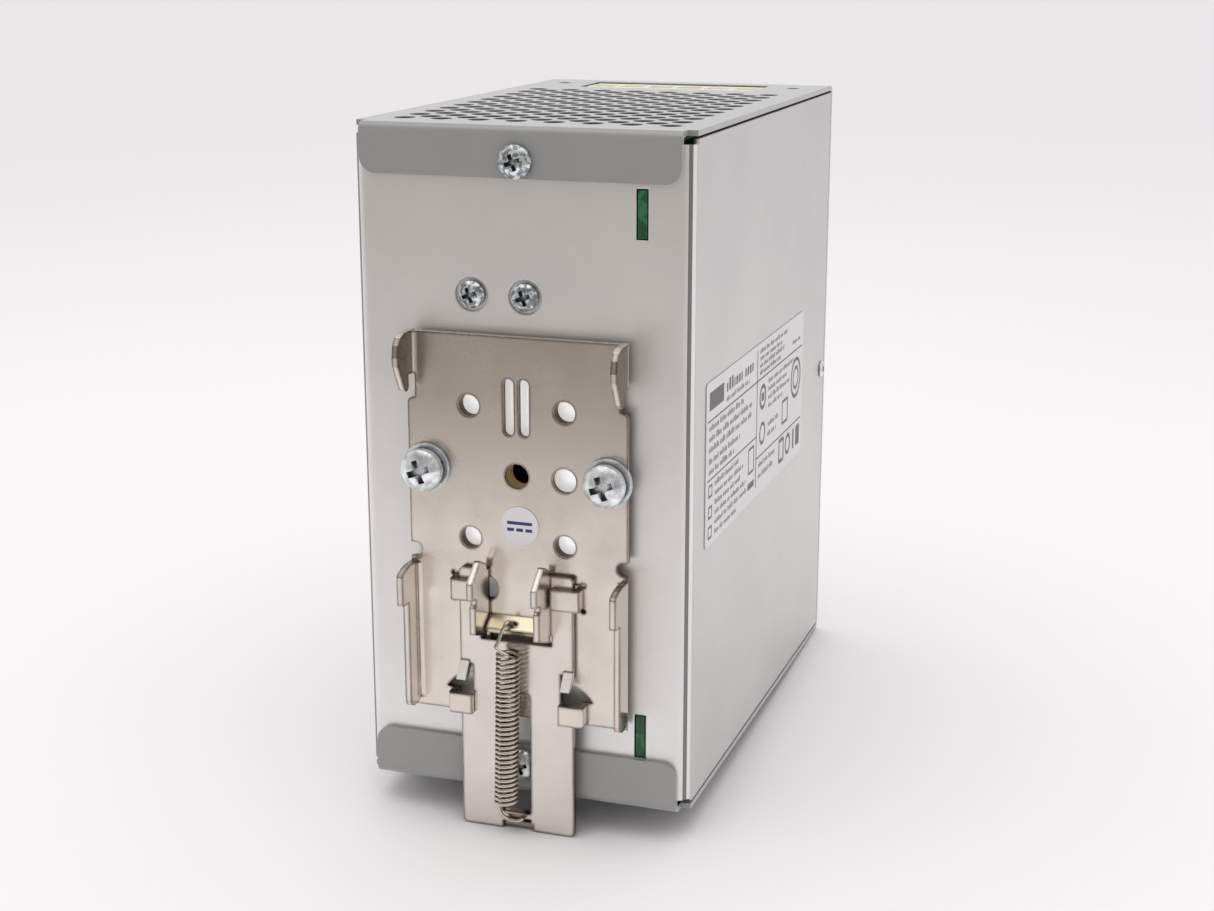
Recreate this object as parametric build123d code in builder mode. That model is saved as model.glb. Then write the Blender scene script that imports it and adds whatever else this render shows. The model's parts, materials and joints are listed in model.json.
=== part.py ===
"""DIN rail power supply: sheet-metal case, sprung rail clip, boards, terminals and controls.

Units are millimetres. The origin is the centre of the rail seat on the clip plate's outer face,
+Z is up, +Y points out of the back towards the rail, and the terminals' screws face -Y.
"""

from build123d import *
import os

os.makedirs("parts", exist_ok=True)

# ---------------------------------------------------------------- driving dimensions

rail_width = 35.0  # top-hat rail, edge to edge
rail_sheet = 1.0

case_width = 63.2
case_height = 123.6
case_depth = 106.0
sheet = 1.0
bend_radius = 2.6
fit_gap = 0.2  # between the walls' front edges and the cover
wall_gap = 0.5  # between the walls' top and bottom edges and the cover
skin_gap = 0.05  # between faces that lie flat on each other

plate_sheet = 1.2
plate_gap = 1.3
plate_half_width = 20.9
plate_top = 25.3
plate_bottom = -45.9

back_y = -(plate_sheet + plate_gap)
front_y = back_y - case_depth
inner_back_y = back_y - sheet
inner_front_y = front_y + sheet
half_width = case_width / 2
half_height = case_height / 2
wall_half_height = half_height - sheet - wall_gap

# Cover flaps folded over the back panel
flap_half_width = 29.75
flap_face_y = back_y + skin_gap + sheet
top_flap_height = 9.0
bottom_flap_height = 9.7
flap_corner = 3.0
cover_screw_z = 55.8

# Round vents, two interleaved grids
vent_diameter = 4.0
vent_pitch_x = 7.13
vent_pitch_y = 6.8
vent_columns = 8
vent_rows = 11
vent_middle_y = -44.9

# Screw terminals
pole_pitch = 6.35
output_poles = 6
input_poles = 3
pole_screw_z = 51.0  # height of the screws above the middle, mirrored for the input
terminal_height = 14.6
terminal_outer_z = 59.6
terminal_back_y = -88.7
wire_hole_y = -96.1
wire_hole_radius = 1.8
wire_hole_depth = 4.2
running_gap = 0.05

# Boards
board_thickness = 1.6
board_x = -22.5  # middle of the main board's thickness
main_board_face = board_x + board_thickness / 2
front_board_y = -88.6  # face that carries the terminals
slot_width = 2.2
upper_slot = (43.1, 51.9)
lower_slot = (-52.1, -43.6)

# Controls on the front
adjuster_x, adjuster_z = 13.0, 31.0
light_x, light_zs = -13.0, (31.0, 25.0)
selector_x, selector_z = 13.0, -27.0
selector_travel = 4.0

# Latch slider
slider_half_width = 11.0
slider_back_y = 0.1
slider_front_y = slider_back_y + plate_sheet
slider_top = -rail_width / 2 - 0.1
slider_bottom = -67.9
foot_strip_top = -66.5
window_bottom = -31.0
latch_ear_inner = 5.5

# Extension spring
spring_wire = 0.75
spring_outside = 4.6
spring_pitch = 0.94
spring_top = -32.2
spring_bottom = -61.5
spring_x, spring_y = 1.0, 3.8

clip_screws_at = [(-17.3, 0.4), (17.3, 0.4)]
heat_sink_screws_at = [(9.15, 32.0), (-0.97, 32.0)]
side_screw_y, side_screw_z = -104.3, 0.2

BACK = (0, 1, 0)


# ---------------------------------------------------------------- helpers


def save(piece, name):
    """Label one finished sub-part and write it to its own file."""
    piece.part.label = name
    export_step(piece.part, f"parts/{name}.step")


def facing_front(y):
    """Plane at one Y whose local x, y are the model's X, Z; extrusions go towards the front."""
    return Plane.XZ.offset(-y)


def along(direction, x, y, z):
    """Frame whose local z points along a direction."""
    return Plane(origin=(x, y, z), z_dir=direction)


def pan_head_screw(head_radius, head_height, shank_radius, shank_length, recess):
    """Cross-recess pan-head screw: the head stands on local z = 0 and the shank points down."""
    edge_height = head_height * 0.45
    with BuildPart() as screw:
        with BuildSketch(Plane.XZ):
            with BuildLine():
                Polyline((0, 0), (head_radius, 0), (head_radius, edge_height))
                RadiusArc((head_radius, edge_height), (0, head_height), -head_radius * 1.15)
                Line((0, head_height), (0, 0))
            make_face()
        revolve(axis=Axis.Z)
        Cylinder(shank_radius, shank_length, align=(Align.CENTER, Align.CENTER, Align.MAX))
        chamfer(edges().group_by(Axis.Z)[0], shank_radius * 0.25)
        with Locations((0, 0, head_height)):
            for turn in (0, 90):
                Box(
                    recess,
                    recess * 0.27,
                    head_height * 1.1,
                    rotation=(0, 0, turn + 20),
                    mode=Mode.SUBTRACT,
                )
            Cone(
                recess * 0.12, recess * 0.36, head_height * 1.1, mode=Mode.SUBTRACT,
            )
    return screw.part


def copies(master, frames, name):
    """One node that holds the same piece at several places."""
    with BuildPart() as group:
        with Locations(*[frame.location for frame in frames]):
            add(master)
    save(group, name)


def sheet_strip(points, span):
    """Solid of a (Y, Z) profile between two X values."""
    low, high = span
    with BuildPart() as strip:
        with BuildSketch(Plane.YZ.offset(low)):
            with BuildLine():
                Polyline(*points, close=True)
            make_face()
        extrude(amount=high - low)
    return strip.part


# ---------------------------------------------------------------- case


with BuildPart() as chassis:
    # U-shaped sheet: back panel and two side walls
    wall_depth = back_y - inner_front_y - fit_gap
    for inset, mode in ((0, Mode.ADD), (sheet, Mode.SUBTRACT)):
        with BuildSketch(Plane.XY.offset(-wall_half_height)):
            with Locations((0, back_y - inset)):
                Rectangle(case_width - 2 * inset, wall_depth, align=(Align.CENTER, Align.MAX))
            fillet(vertices().group_by(Axis.Y)[-1], bend_radius - inset)
        extrude(amount=2 * wall_half_height, mode=mode)
    # corner relief at both ends of the bends
    relief_size = 2 * (bend_radius + 0.2)
    with Locations(*[(x, back_y, z) for x in (-half_width, half_width)
                     for z in (-wall_half_height, wall_half_height)]):
        Box(relief_size, relief_size, 1.6, mode=Mode.SUBTRACT)
    # pressed seats of the heat sink screws
    with BuildSketch(facing_front(inner_back_y)):
        with Locations(*heat_sink_screws_at):
            Circle(4.0)
    extrude(amount=0.5, taper=20)
    with BuildSketch(facing_front(back_y)):
        with Locations(*heat_sink_screws_at):
            Circle(3.1)
    extrude(amount=0.5, mode=Mode.SUBTRACT)
    # openings of the back panel
    with BuildSketch(facing_front(back_y)):
        with Locations(*heat_sink_screws_at):
            Circle(1.6)
        with Locations((0, cover_screw_z), (0, -cover_screw_z)):
            Circle(1.6)
        with Locations(*clip_screws_at):
            Circle(2.2)
        with Locations((0, 0)):
            Circle(3.2)
        for low, high in (upper_slot, lower_slot):
            with Locations((board_x, (low + high) / 2)):
                Rectangle(slot_width, high - low)
    extrude(amount=2 * sheet, mode=Mode.SUBTRACT)
    with Locations((0, side_screw_y, side_screw_z)):
        Cylinder(1.6, 2 * case_width, rotation=(0, 90, 0), mode=Mode.SUBTRACT)
save(chassis, "chassis")

with BuildPart() as cover:
    # C-shaped sheet: top, front and bottom, with a flap at each end folded over the back
    outside = flap_face_y - front_y
    for inset, mode in ((0, Mode.ADD), (sheet, Mode.SUBTRACT)):
        with BuildSketch(Plane.YZ.offset(-half_width)):
            with Locations(((front_y + flap_face_y) / 2, 0)):
                RectangleRounded(outside - 2 * inset, case_height - 2 * inset, 1.6 - inset)
        extrude(amount=case_width, mode=mode)
    with BuildSketch(Plane.YZ.offset(-half_width)):
        with Locations((flap_face_y, half_height - top_flap_height)):
            Rectangle(
                2 * sheet + 0.5,
                case_height - top_flap_height - bottom_flap_height,
                align=(Align.CENTER, Align.MAX),
            )
    extrude(amount=case_width, mode=Mode.SUBTRACT)
    flap_cut = half_width - flap_half_width
    with Locations(*[(x, flap_face_y, 0) for x in (-half_width, half_width)]):
        Box(2 * flap_cut, 6.6, case_height, mode=Mode.SUBTRACT)
    free_edge_z = (half_height - top_flap_height, -half_height + bottom_flap_height)
    corners = [
        edge
        for edge in edges().filter_by(Axis.Y)
        if edge.center().Y > back_y
        and min(abs(edge.center().Z - z) for z in free_edge_z) < 0.1
    ]
    fillet(corners, flap_corner)
    with BuildSketch(facing_front(flap_face_y)):
        with Locations((0, cover_screw_z), (0, -cover_screw_z)):
            Circle(1.6)
    extrude(amount=2 * sheet, mode=Mode.SUBTRACT)
    # vents through the top and the bottom sheet
    with BuildSketch(Plane.XY.offset(-half_height)):
        with Locations((0, vent_middle_y)):
            with GridLocations(vent_pitch_x, vent_pitch_y, vent_columns, vent_rows):
                Circle(vent_diameter / 2)
            with GridLocations(vent_pitch_x, vent_pitch_y, vent_columns - 1, vent_rows - 1):
                Circle(vent_diameter / 2)
    extrude(amount=case_height, mode=Mode.SUBTRACT)
    # wiring windows over the terminals
    for side, poles in ((1, output_poles), (-1, input_poles)):
        with BuildSketch(Plane.XY.offset(side * (half_height - sheet / 2))):
            with Locations((0, -95.0)):
                RectangleRounded(poles * pole_pitch + 0.5, 14.0, 0.8)
            with Locations((25.6, -97.2), (-25.6, -97.2)):
                Circle(1.4)
        extrude(amount=sheet, both=True, mode=Mode.SUBTRACT)
    # openings of the front
    with BuildSketch(facing_front(front_y - sheet)):
        for side, poles in ((1, output_poles), (-1, input_poles)):
            with Locations((0, side * pole_screw_z)):
                RectangleRounded(poles * pole_pitch + 0.3, 9.0, 0.8)
        with Locations((adjuster_x, adjuster_z)):
            Circle(2.6)
        with Locations(*[(light_x, z) for z in light_zs]):
            Circle(1.6)
        with Locations((selector_x, selector_z)):
            RectangleRounded(5.4, 11.4, 0.6)
    extrude(amount=-4 * sheet, mode=Mode.SUBTRACT)
    # tabs behind the side walls for the side screws
    for side in (-1, 1):
        with Locations((side * (half_width - sheet - 0.1 - sheet / 2), inner_front_y, side_screw_z)):
            Box(sheet, 7.5, 14, align=(Align.CENTER, Align.MIN, Align.CENTER))
    with Locations((0, side_screw_y, side_screw_z)):
        Cylinder(1.35, 2 * case_width, rotation=(0, 90, 0), mode=Mode.SUBTRACT)
save(cover, "cover")

with BuildPart() as front_overlay:
    overlay_y = front_y - skin_gap
    with BuildSketch(facing_front(overlay_y)):
        RectangleRounded(54, 84, 2)
        with Locations((adjuster_x, adjuster_z)):
            Circle(3.0, mode=Mode.SUBTRACT)
        with Locations(*[(light_x, z) for z in light_zs]):
            Circle(1.8, mode=Mode.SUBTRACT)
        with Locations((selector_x, selector_z)):
            RectangleRounded(6.0, 12.0, 0.8, mode=Mode.SUBTRACT)
    extrude(amount=0.2)
save(front_overlay, "front_overlay")

with BuildPart() as rating_label:
    with BuildSketch(Plane.YZ.offset(-half_width - skin_gap)):
        with Locations((-48.7, 1.3)):
            RectangleRounded(74.5, 30.7, 0.8)
    extrude(amount=-0.12)
save(rating_label, "rating_label")

# Fasteners of the case
cover_screw_frames = [along(BACK, 0, flap_face_y + skin_gap, z) for z in (cover_screw_z, -cover_screw_z)]
copies(pan_head_screw(3.0, 2.2, 1.45, 6.0, 3.0), cover_screw_frames, "cover_screws")

seat_y = back_y - 0.5 + skin_gap
heat_sink_frames = [along(BACK, x, seat_y, z) for x, z in heat_sink_screws_at]
copies(pan_head_screw(2.5, 1.9, 1.45, 5.4, 2.8), heat_sink_frames, "heat_sink_screws")

side_screw_frames = [
    along((side, 0, 0), side * (half_width + skin_gap), side_screw_y, side_screw_z)
    for side in (-1, 1)
]
copies(pan_head_screw(1.75, 0.6, 1.25, 4.0, 1.7), side_screw_frames, "side_screws")

# ---------------------------------------------------------------- rail clip

collar_holes = [(x, z) for x in (-9.07, 9.07) for z in (-12.3, 12.3)]
upper_strap_z = (-23.6, -19.7)
lower_strap_z = (-45.6, -41.8)
strap_back_y = slider_front_y + 0.15
strap_front_y = strap_back_y + plate_sheet
tongue_root = -26.3
bend_radius = 1.0

with BuildPart() as clip_plate:
    with BuildSketch(facing_front(0)):
        with Locations((0, (plate_top + plate_bottom) / 2)):
            Rectangle(2 * plate_half_width, plate_top - plate_bottom)
        for side in (-1, 1):
            # relief beside the rail's two edges
            with Locations((side * plate_half_width, 15.3)):
                RectangleRounded(3.0, 4.6, 0.5, mode=Mode.SUBTRACT)
            with Locations((side * plate_half_width, -15.5)):
                SlotOverall(4.2, 2.6, mode=Mode.SUBTRACT)
            # opening that each upper strap is cut out of
            with Locations((side * 9.2, sum(upper_strap_z) / 2)):
                Rectangle(6.6, 4.8, mode=Mode.SUBTRACT)
            with Locations((side * 6.3, sum(upper_strap_z) / 2)):
                Circle(2.4, mode=Mode.SUBTRACT)
            with Locations(*[(side * 12.5, z) for z in (upper_strap_z[0] - 0.45, upper_strap_z[1] + 0.45)]):
                Circle(0.5, mode=Mode.SUBTRACT)
            # arched opening over each lower strap, open at the bottom edge
            with BuildLine():
                Polyline(
                    (side * 8.0, -39.4), (side * 8.0, plate_bottom - 1),
                    (side * 13.2, plate_bottom - 1), (side * 13.2, lower_strap_z[1]),
                    (side * 14.3, lower_strap_z[1] + 0.3),
                )
                ThreePointArc((side * 14.3, -41.5), (side * 11.6, -39.0), (side * 8.0, -38.3))
                Line((side * 8.0, -38.3), (side * 8.0, -39.4))
            make_face(mode=Mode.SUBTRACT)
        with Locations(*collar_holes):
            Circle(2.05, mode=Mode.SUBTRACT)
        with Locations((0, 0), (-9.0, -0.1)):
            Circle(2.25, mode=Mode.SUBTRACT)
        with Locations(*clip_screws_at):
            Circle(2.3, mode=Mode.SUBTRACT)
        with Locations((1.45, 12.5), (-1.45, 12.5)):
            SlotOverall(10.4, 2.0, rotation=90, mode=Mode.SUBTRACT)
        # opening behind the spring tongue
        with Locations((0, tongue_root)):
            Rectangle(11.2, 5.1, align=(Align.CENTER, Align.MAX), mode=Mode.SUBTRACT)
        shoulders = [
            corner
            for corner in vertices()
            if abs(abs(corner.X) - plate_half_width) < 0.01 and abs(corner.Y - 13.0) < 0.01
        ]
        fillet(shoulders, 0.8)
    extrude(amount=plate_sheet)
    # collars pressed towards the case
    with BuildSketch(facing_front(-plate_sheet)):
        with Locations(*collar_holes):
            Circle(2.7)
            Circle(2.05, mode=Mode.SUBTRACT)
    extrude(amount=plate_gap - skin_gap)
    with BuildSketch(facing_front(-plate_sheet)):
        Circle(3.0)
        Circle(2.25, mode=Mode.SUBTRACT)
    extrude(amount=plate_gap + 1.2)
    for side in (-1, 1):
        outer = side * plate_half_width
        inner = outer - side * plate_sheet
        span = (min(inner, outer), max(inner, outer))
        # hook over the rail's upper edge
        hook = [
            (-plate_sheet, 25.4), (3.6, 25.4), (4.9, 24.9), (5.9, 23.5), (6.3, 21.4), (6.2, 19.8),
            (3.9, 15.5), (3.5, 15.0), (2.9, 14.7), (2.3, 14.9), (1.9, 15.5),
            (1.9, rail_width / 2 + 0.1), (-plate_sheet, rail_width / 2 + 0.1),
        ]
        add(sheet_strip(hook, span))
        # flange under the rail's lower edge
        flange = [
            (-plate_sheet, -17.7), (2.8, -17.6), (4.8, -17.9), (6.5, -18.5), (6.9, -19.0), (6.9, -24.3),
            (6.5, -24.6), (4.3, -24.6), (4.3, -43.9), (3.9, -44.7), (3.1, -45.1), (1.4, -45.1),
            (0.6, -44.8), (0.2, -44.2), (-plate_sheet, -44.2),
        ]
        add(sheet_strip(flange, span))
        # inside radius of the two bends
        for low, high in ((rail_width / 2 + 0.1, plate_top), (-44.2, -18.0)):
            with BuildSketch(Plane.XY.offset(low)):
                with Locations((inner - side * bend_radius / 2, bend_radius / 2)):
                    Rectangle(bend_radius, bend_radius)
                with Locations((inner - side * bend_radius, bend_radius)):
                    Circle(bend_radius, mode=Mode.SUBTRACT)
            extrude(amount=high - low)
        # straps over the slider's edges
        for (low, high), tip, wall in ((upper_strap_z, 7.1, 12.5), (lower_strap_z, 8.4, 13.2)):
            with BuildSketch(Plane.XY.offset(low)):
                with BuildLine():
                    Polyline(
                        (side * (wall + 0.6), -plate_sheet), (side * (wall - plate_sheet), -plate_sheet),
                        (side * (wall - plate_sheet), strap_back_y), (side * tip, strap_back_y),
                        (side * tip, strap_front_y), (side * wall, strap_front_y),
                        (side * wall, 0), (side * (wall + 0.6), 0), close=True,
                    )
                make_face()
                crown = vertices().group_by(Axis.Y)[-1].sort_by(Axis.X)[0 if side < 0 else -1]
                fillet(crown, 1.0)
            extrude(amount=high - low)
    # sloping tongue that carries the spring
    tongue = [
        (-plate_sheet, tongue_root + 0.5), (0, tongue_root + 0.5), (0, tongue_root), (3.0, -28.2),
        (2.36, -29.2), (-plate_sheet, -26.95),
    ]
    add(sheet_strip(tongue, (-5.2, 5.2)))
    with BuildSketch(Plane(origin=(0.75, 1.8, -27.44), x_dir=(1, 0, 0), z_dir=(0, 0.535, 0.845))):
        SlotOverall(2.4, 1.4)
    extrude(amount=3, both=True, mode=Mode.SUBTRACT)
    bends = [
        edge
        for edge in edges().filter_by(Axis.Z)
        if abs(abs(edge.center().X) - plate_half_width) < 0.01
        and abs(edge.center().Y + plate_sheet) < 0.01
        and (edge.center().Z > 18 or edge.center().Z < -18)
    ]
    fillet(bends, 1.1)
save(clip_plate, "clip_plate")

with BuildPart() as latch_slider:
    with BuildSketch(facing_front(slider_front_y)):
        with Locations((0, slider_top)):
            Rectangle(
                2 * slider_half_width, slider_top - slider_bottom, align=(Align.CENTER, Align.MAX)
            )
        chamfer(vertices(), 0.5)
        # window between the arms, wider at its bottom
        with Locations((0, slider_top + 1)):
            Rectangle(
                2 * latch_ear_inner, slider_top + 1 - window_bottom,
                align=(Align.CENTER, Align.MAX), mode=Mode.SUBTRACT,
            )
        with Locations((0, window_bottom)):
            Rectangle(13.8, 2.1, align=(Align.CENTER, Align.MIN), mode=Mode.SUBTRACT)
        # slot under the spring, side notches and finger slot
        with Locations((0.3, -52.75)):
            RectangleRounded(5.8, 23.9, 0.6, mode=Mode.SUBTRACT)
        for side in (-1, 1):
            with Locations((side * slider_half_width, -39.35)):
                Rectangle(5.0, 6.5, mode=Mode.SUBTRACT)
        with Locations((0, foot_strip_top)):
            Rectangle(6.0, 3, align=(Align.CENTER, Align.MAX), mode=Mode.SUBTRACT)
            Rectangle(5.0, 0.8, align=(Align.CENTER, Align.MIN), mode=Mode.SUBTRACT)
    extrude(amount=plate_sheet)
    # strip under the finger slot, pressed back a little
    foot_strip = [
        (slider_back_y - 0.5, foot_strip_top), (slider_front_y - 0.5, foot_strip_top),
        (slider_front_y - 0.5, slider_bottom + 0.3), (slider_back_y - 0.5, slider_bottom + 0.3),
    ]
    add(sheet_strip(foot_strip, (-3.0, 3.0)))
    # tab at the foot of the slot that holds the spring's lower hook
    spring_tab = [
        (slider_back_y, -64.9), (slider_front_y, -65.1), (2.7, -64.3), (3.1, -63.7), (2.2, -63.2),
        (slider_front_y, -64.0), (slider_back_y, -64.3),
    ]
    add(sheet_strip(spring_tab, (-1.7, 2.0)))
    for side in (-1, 1):
        inner = side * latch_ear_inner
        outer = inner + side * plate_sheet
        # ear that snaps over the rail's lower edge
        ear = [
            (slider_back_y, slider_top), (rail_sheet + 0.3, slider_top), (rail_sheet + 0.5, -16.4),
            (4.0, -15.2), (4.6, -15.3), (8.3, -18.4), (8.3, -21.5), (6.4, -21.7), (6.4, -22.8),
            (7.0, -23.2), (7.0, -28.3), (1.9, -30.1), (slider_front_y, -28.8), (slider_back_y, -28.8),
        ]
        add(sheet_strip(ear, (min(inner, outer), max(inner, outer))))
        # stop tab bent out of the side notch
        tab = [
            (slider_back_y, -36.1), (2.6, -39.2), (3.6, -38.6), (slider_front_y, -35.3),
            (slider_back_y, -35.3),
        ]
        tab_span = sorted((side * 9.2, side * slider_half_width))
        add(sheet_strip(tab, tab_span))
save(latch_slider, "latch_slider")

coil_radius = (spring_outside - spring_wire) / 2
# the upper hook passes over the tongue's lip into its slot, the lower one under the slider's tab
upper_hook = [
    (2.3, 4.5, -30.6), (1.9, 3.75, -28.6), (1.4, 3.2, -27.2), (0.95, 2.4, -26.75), (0.75, 1.7, -27.6),
]
lower_hook = [(2.8, 3.5, -63.2), (2.3, 2.3, -65.2), (0.6, 1.95, -65.9), (-0.9, 2.0, -65.6)]
with BuildPart() as latch_spring:
    with BuildLine() as coil:
        Helix(
            pitch=spring_pitch, height=spring_top - spring_bottom, radius=coil_radius,
            center=(spring_x, spring_y, spring_bottom),
        )
    with BuildSketch(Plane(coil.line @ 0, z_dir=coil.line % 0)):
        Circle(spring_wire / 2)
    sweep(path=coil.line, is_frenet=True)
    for start, hook in ((coil.line @ 1, upper_hook), (coil.line @ 0, lower_hook)):
        with BuildLine() as hook_line:
            Spline(start, *hook)
        with BuildSketch(Plane(hook_line.line @ 0, z_dir=hook_line.line % 0)):
            Circle(spring_wire / 2)
        sweep(path=hook_line.line)
save(latch_spring, "latch_spring")

with BuildPart() as polarity_sticker:
    with BuildSketch(facing_front(skin_gap + 0.1)):
        with Locations((-0.5, -9.2)):
            Circle(3.65)
    extrude(amount=0.1)
save(polarity_sticker, "polarity_sticker")

# Screws, washers and nuts that hold the clip plate
washer_thickness = 0.8
with BuildPart() as clip_flat_washers:
    with BuildSketch(facing_front(skin_gap + washer_thickness)):
        with Locations(*clip_screws_at):
            Circle(4.5)
            Circle(2.15, mode=Mode.SUBTRACT)
    extrude(amount=washer_thickness)
save(clip_flat_washers, "clip_flat_washers")

spring_washer_y = 2 * skin_gap + washer_thickness
with BuildPart() as clip_spring_washers:
    with BuildSketch(facing_front(spring_washer_y + 1.0)):
        with Locations(*clip_screws_at):
            Circle(3.5)
            Circle(2.15, mode=Mode.SUBTRACT)
        with Locations(*[(x - 2.8, z + 1.0) for x, z in clip_screws_at]):
            Rectangle(2.4, 0.6, rotation=-20, mode=Mode.SUBTRACT)
    extrude(amount=1.0)
save(clip_spring_washers, "clip_spring_washers")

head_y = spring_washer_y + 1.0 + skin_gap
copies(
    pan_head_screw(3.85, 2.8, 1.95, 8.0, 4.4),
    [along(BACK, x, head_y, z) for x, z in clip_screws_at],
    "clip_screws",
)

with BuildPart() as clip_nuts:
    with BuildSketch(facing_front(inner_back_y - skin_gap)):
        with Locations(*clip_screws_at):
            RegularPolygon(4.0, 6)
            Circle(2.0, mode=Mode.SUBTRACT)
    extrude(amount=3.0)
save(clip_nuts, "clip_nuts")

# ---------------------------------------------------------------- boards

with BuildPart() as main_board:
    board_back_y = inner_back_y - 0.6
    board_front_y = -86.4
    with BuildSketch(Plane.YZ.offset(board_x - board_thickness / 2)):
        with Locations(((board_back_y + board_front_y) / 2, 0)):
            Rectangle(board_back_y - board_front_y, 116)
        # tabs that sit in the back panel's slots
        for low, high in (upper_slot, lower_slot):
            with Locations((board_back_y, (low + high) / 2)):
                Rectangle(
                    back_y - board_back_y - 0.1, high - low - 0.6, align=(Align.MIN, Align.CENTER)
                )
    extrude(amount=board_thickness)
save(main_board, "main_board")

with BuildPart() as front_board:
    with BuildSketch(facing_front(front_board_y + board_thickness)):
        with Locations((3.2, 0)):
            Rectangle(48, 112)
    extrude(amount=board_thickness)
    for side, poles in ((1, output_poles), (-1, input_poles)):
        with BuildSketch(facing_front(front_board_y + board_thickness)):
            with Locations((0, side * 47.0)):
                with GridLocations(pole_pitch, 1, poles, 1):
                    Rectangle(2.0, 1.4)
        extrude(amount=board_thickness, mode=Mode.SUBTRACT)
save(front_board, "front_board")

with BuildPart() as insulation_sheet:
    with BuildSketch(Plane.YZ.offset(-half_width + sheet + 0.2)):
        with Locations((-46, 0)):
            Rectangle(80, 114)
    extrude(amount=0.4)
save(insulation_sheet, "insulation_sheet")

with BuildPart() as board_header:
    header_face = main_board_face + 0.05
    with Locations((header_face + 1.3, front_board_y + board_thickness + 4.2, 0)):
        Box(2.5, 8.0, 26)
save(board_header, "board_header")

# ---------------------------------------------------------------- power parts on the main board

lift = 0.1  # each part stands this far off the board


def standing(y, z):
    """Frame on the main board's component side, local z pointing away from the board."""
    return Plane(origin=(main_board_face + lift, y, z), x_dir=(0, 1, 0), z_dir=(1, 0, 0))


def can_capacitors(places, radius, length, name):
    """Round aluminium capacitors with a rolled groove near the board."""
    with BuildPart() as cans:
        for y, z in places:
            with BuildSketch(standing(y, z)):
                Circle(radius)
            extrude(amount=length)
        fillet(edges().filter_by(GeomType.CIRCLE).group_by(Axis.X)[-1], 0.8)
        for y, z in places:
            groove = standing(y, z).offset(2.4)
            with BuildSketch(groove):
                Circle(radius + 1)
                Circle(radius - 0.5, mode=Mode.SUBTRACT)
            extrude(amount=1.0, mode=Mode.SUBTRACT)
    save(cans, name)


can_capacitors([(-66.0, -4.0), (-42.0, -4.0)], 11.0, 38.0, "bulk_capacitors")
can_capacitors([(-72.0, 50.0), (-57.0, 50.0), (-42.0, 50.0)], 6.3, 25.0, "output_capacitors")

transformer_y, transformer_z = -56.0, 26.8
with BuildPart() as transformer_core:
    # two E halves as one closed frame round the winding
    with BuildSketch(standing(transformer_y, transformer_z).offset(3.0)):
        Rectangle(35, 30)
    extrude(amount=30)
    with BuildSketch(Plane.XY.offset(transformer_z - 20)):
        for offset in (-8.6, 8.6):
            with Locations((main_board_face + lift + 18, transformer_y + offset)):
                Rectangle(22, 7.6)
    extrude(amount=40, mode=Mode.SUBTRACT)
save(transformer_core, "transformer_core")

with BuildPart() as transformer_winding:
    winding_plane = standing(transformer_y, transformer_z).offset(7.3)
    with BuildSketch(winding_plane):
        RectangleRounded(23.6, 33.0, 2.0)
        Rectangle(10.2, 30.6, mode=Mode.SUBTRACT)
    extrude(amount=21.4)
save(transformer_winding, "transformer_winding")

with BuildPart() as output_inductor:
    with BuildSketch(standing(-23.0, 14.0)):
        Circle(11.5)
        Circle(4.5, mode=Mode.SUBTRACT)
    extrude(amount=13)
    fillet(edges().filter_by(GeomType.CIRCLE), 2.0)
save(output_inductor, "output_inductor")

with BuildPart() as emi_choke:
    with BuildSketch(standing(-72.0, -31.0)):
        Rectangle(17, 22)
        Rectangle(6, 10, mode=Mode.SUBTRACT)
    extrude(amount=22)
    fillet(edges().filter_by(Axis.X), 1.5)
save(emi_choke, "emi_choke")

with BuildPart() as x_capacitor:
    with BuildSketch(standing(-53.0, -31.0)):
        Rectangle(10, 26)
    extrude(amount=19)
    fillet(edges().filter_by(Axis.X), 0.8)
save(x_capacitor, "x_capacitor")

with BuildPart() as fuse:
    with BuildSketch(standing(-76.0, -50.5)):
        Rectangle(8.4, 8.4)
    extrude(amount=8.0)
    fillet(edges().group_by(Axis.X)[-1], 0.6)
save(fuse, "fuse")

with BuildPart() as bridge_rectifier:
    with Locations((2.0, -38.0, -36.0)):
        Box(20, 3.6, 22)
    fillet(edges().filter_by(Axis.Y), 0.8)
    for z in (-43.5, -38.5, -33.5, -28.5):
        with Locations((-8.0, -38.0, z)):
            Box(13.4 + 13.4, 0.8, 1.0, align=(Align.MAX, Align.CENTER, Align.CENTER))
    with Locations((main_board_face + lift, -38.0, -36.0)):
        Box(20, 10, 30, align=(Align.MAX, Align.CENTER, Align.CENTER), mode=Mode.SUBTRACT)
save(bridge_rectifier, "bridge_rectifier")


def tab_transistors(places, y, depth, name):
    """Flat power devices standing on the board on three leads."""
    with BuildPart() as devices:
        for x, z in places:
            with Locations((x, y, z)):
                Box(15.0, depth, 10.2)
            with Locations((main_board_face + lift, y, z)):
                for step in (-2.54, 0, 2.54):
                    with Locations((0, 0, step)):
                        Box(
                            x - 7.5 - main_board_face + 1, 0.7, 0.9,
                            align=(Align.MIN, Align.CENTER, Align.CENTER),
                        )
    save(devices, name)


with BuildPart() as primary_heat_sink:
    with BuildSketch(Plane.XY.offset(-54)):
        with Locations((main_board_face + lift, -30.0)):
            Rectangle(40, 2.0, align=(Align.MIN, Align.CENTER))
        for x in (-16, -10, -4, 2, 8, 14):
            with Locations((x, -29.2)):
                Rectangle(1.2, 8.0, align=(Align.CENTER, Align.MIN))
    extrude(amount=42)
save(primary_heat_sink, "primary_heat_sink")
tab_transistors([(-2.0, -46.0)], -33.4, 4.4, "switching_transistor")

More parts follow.
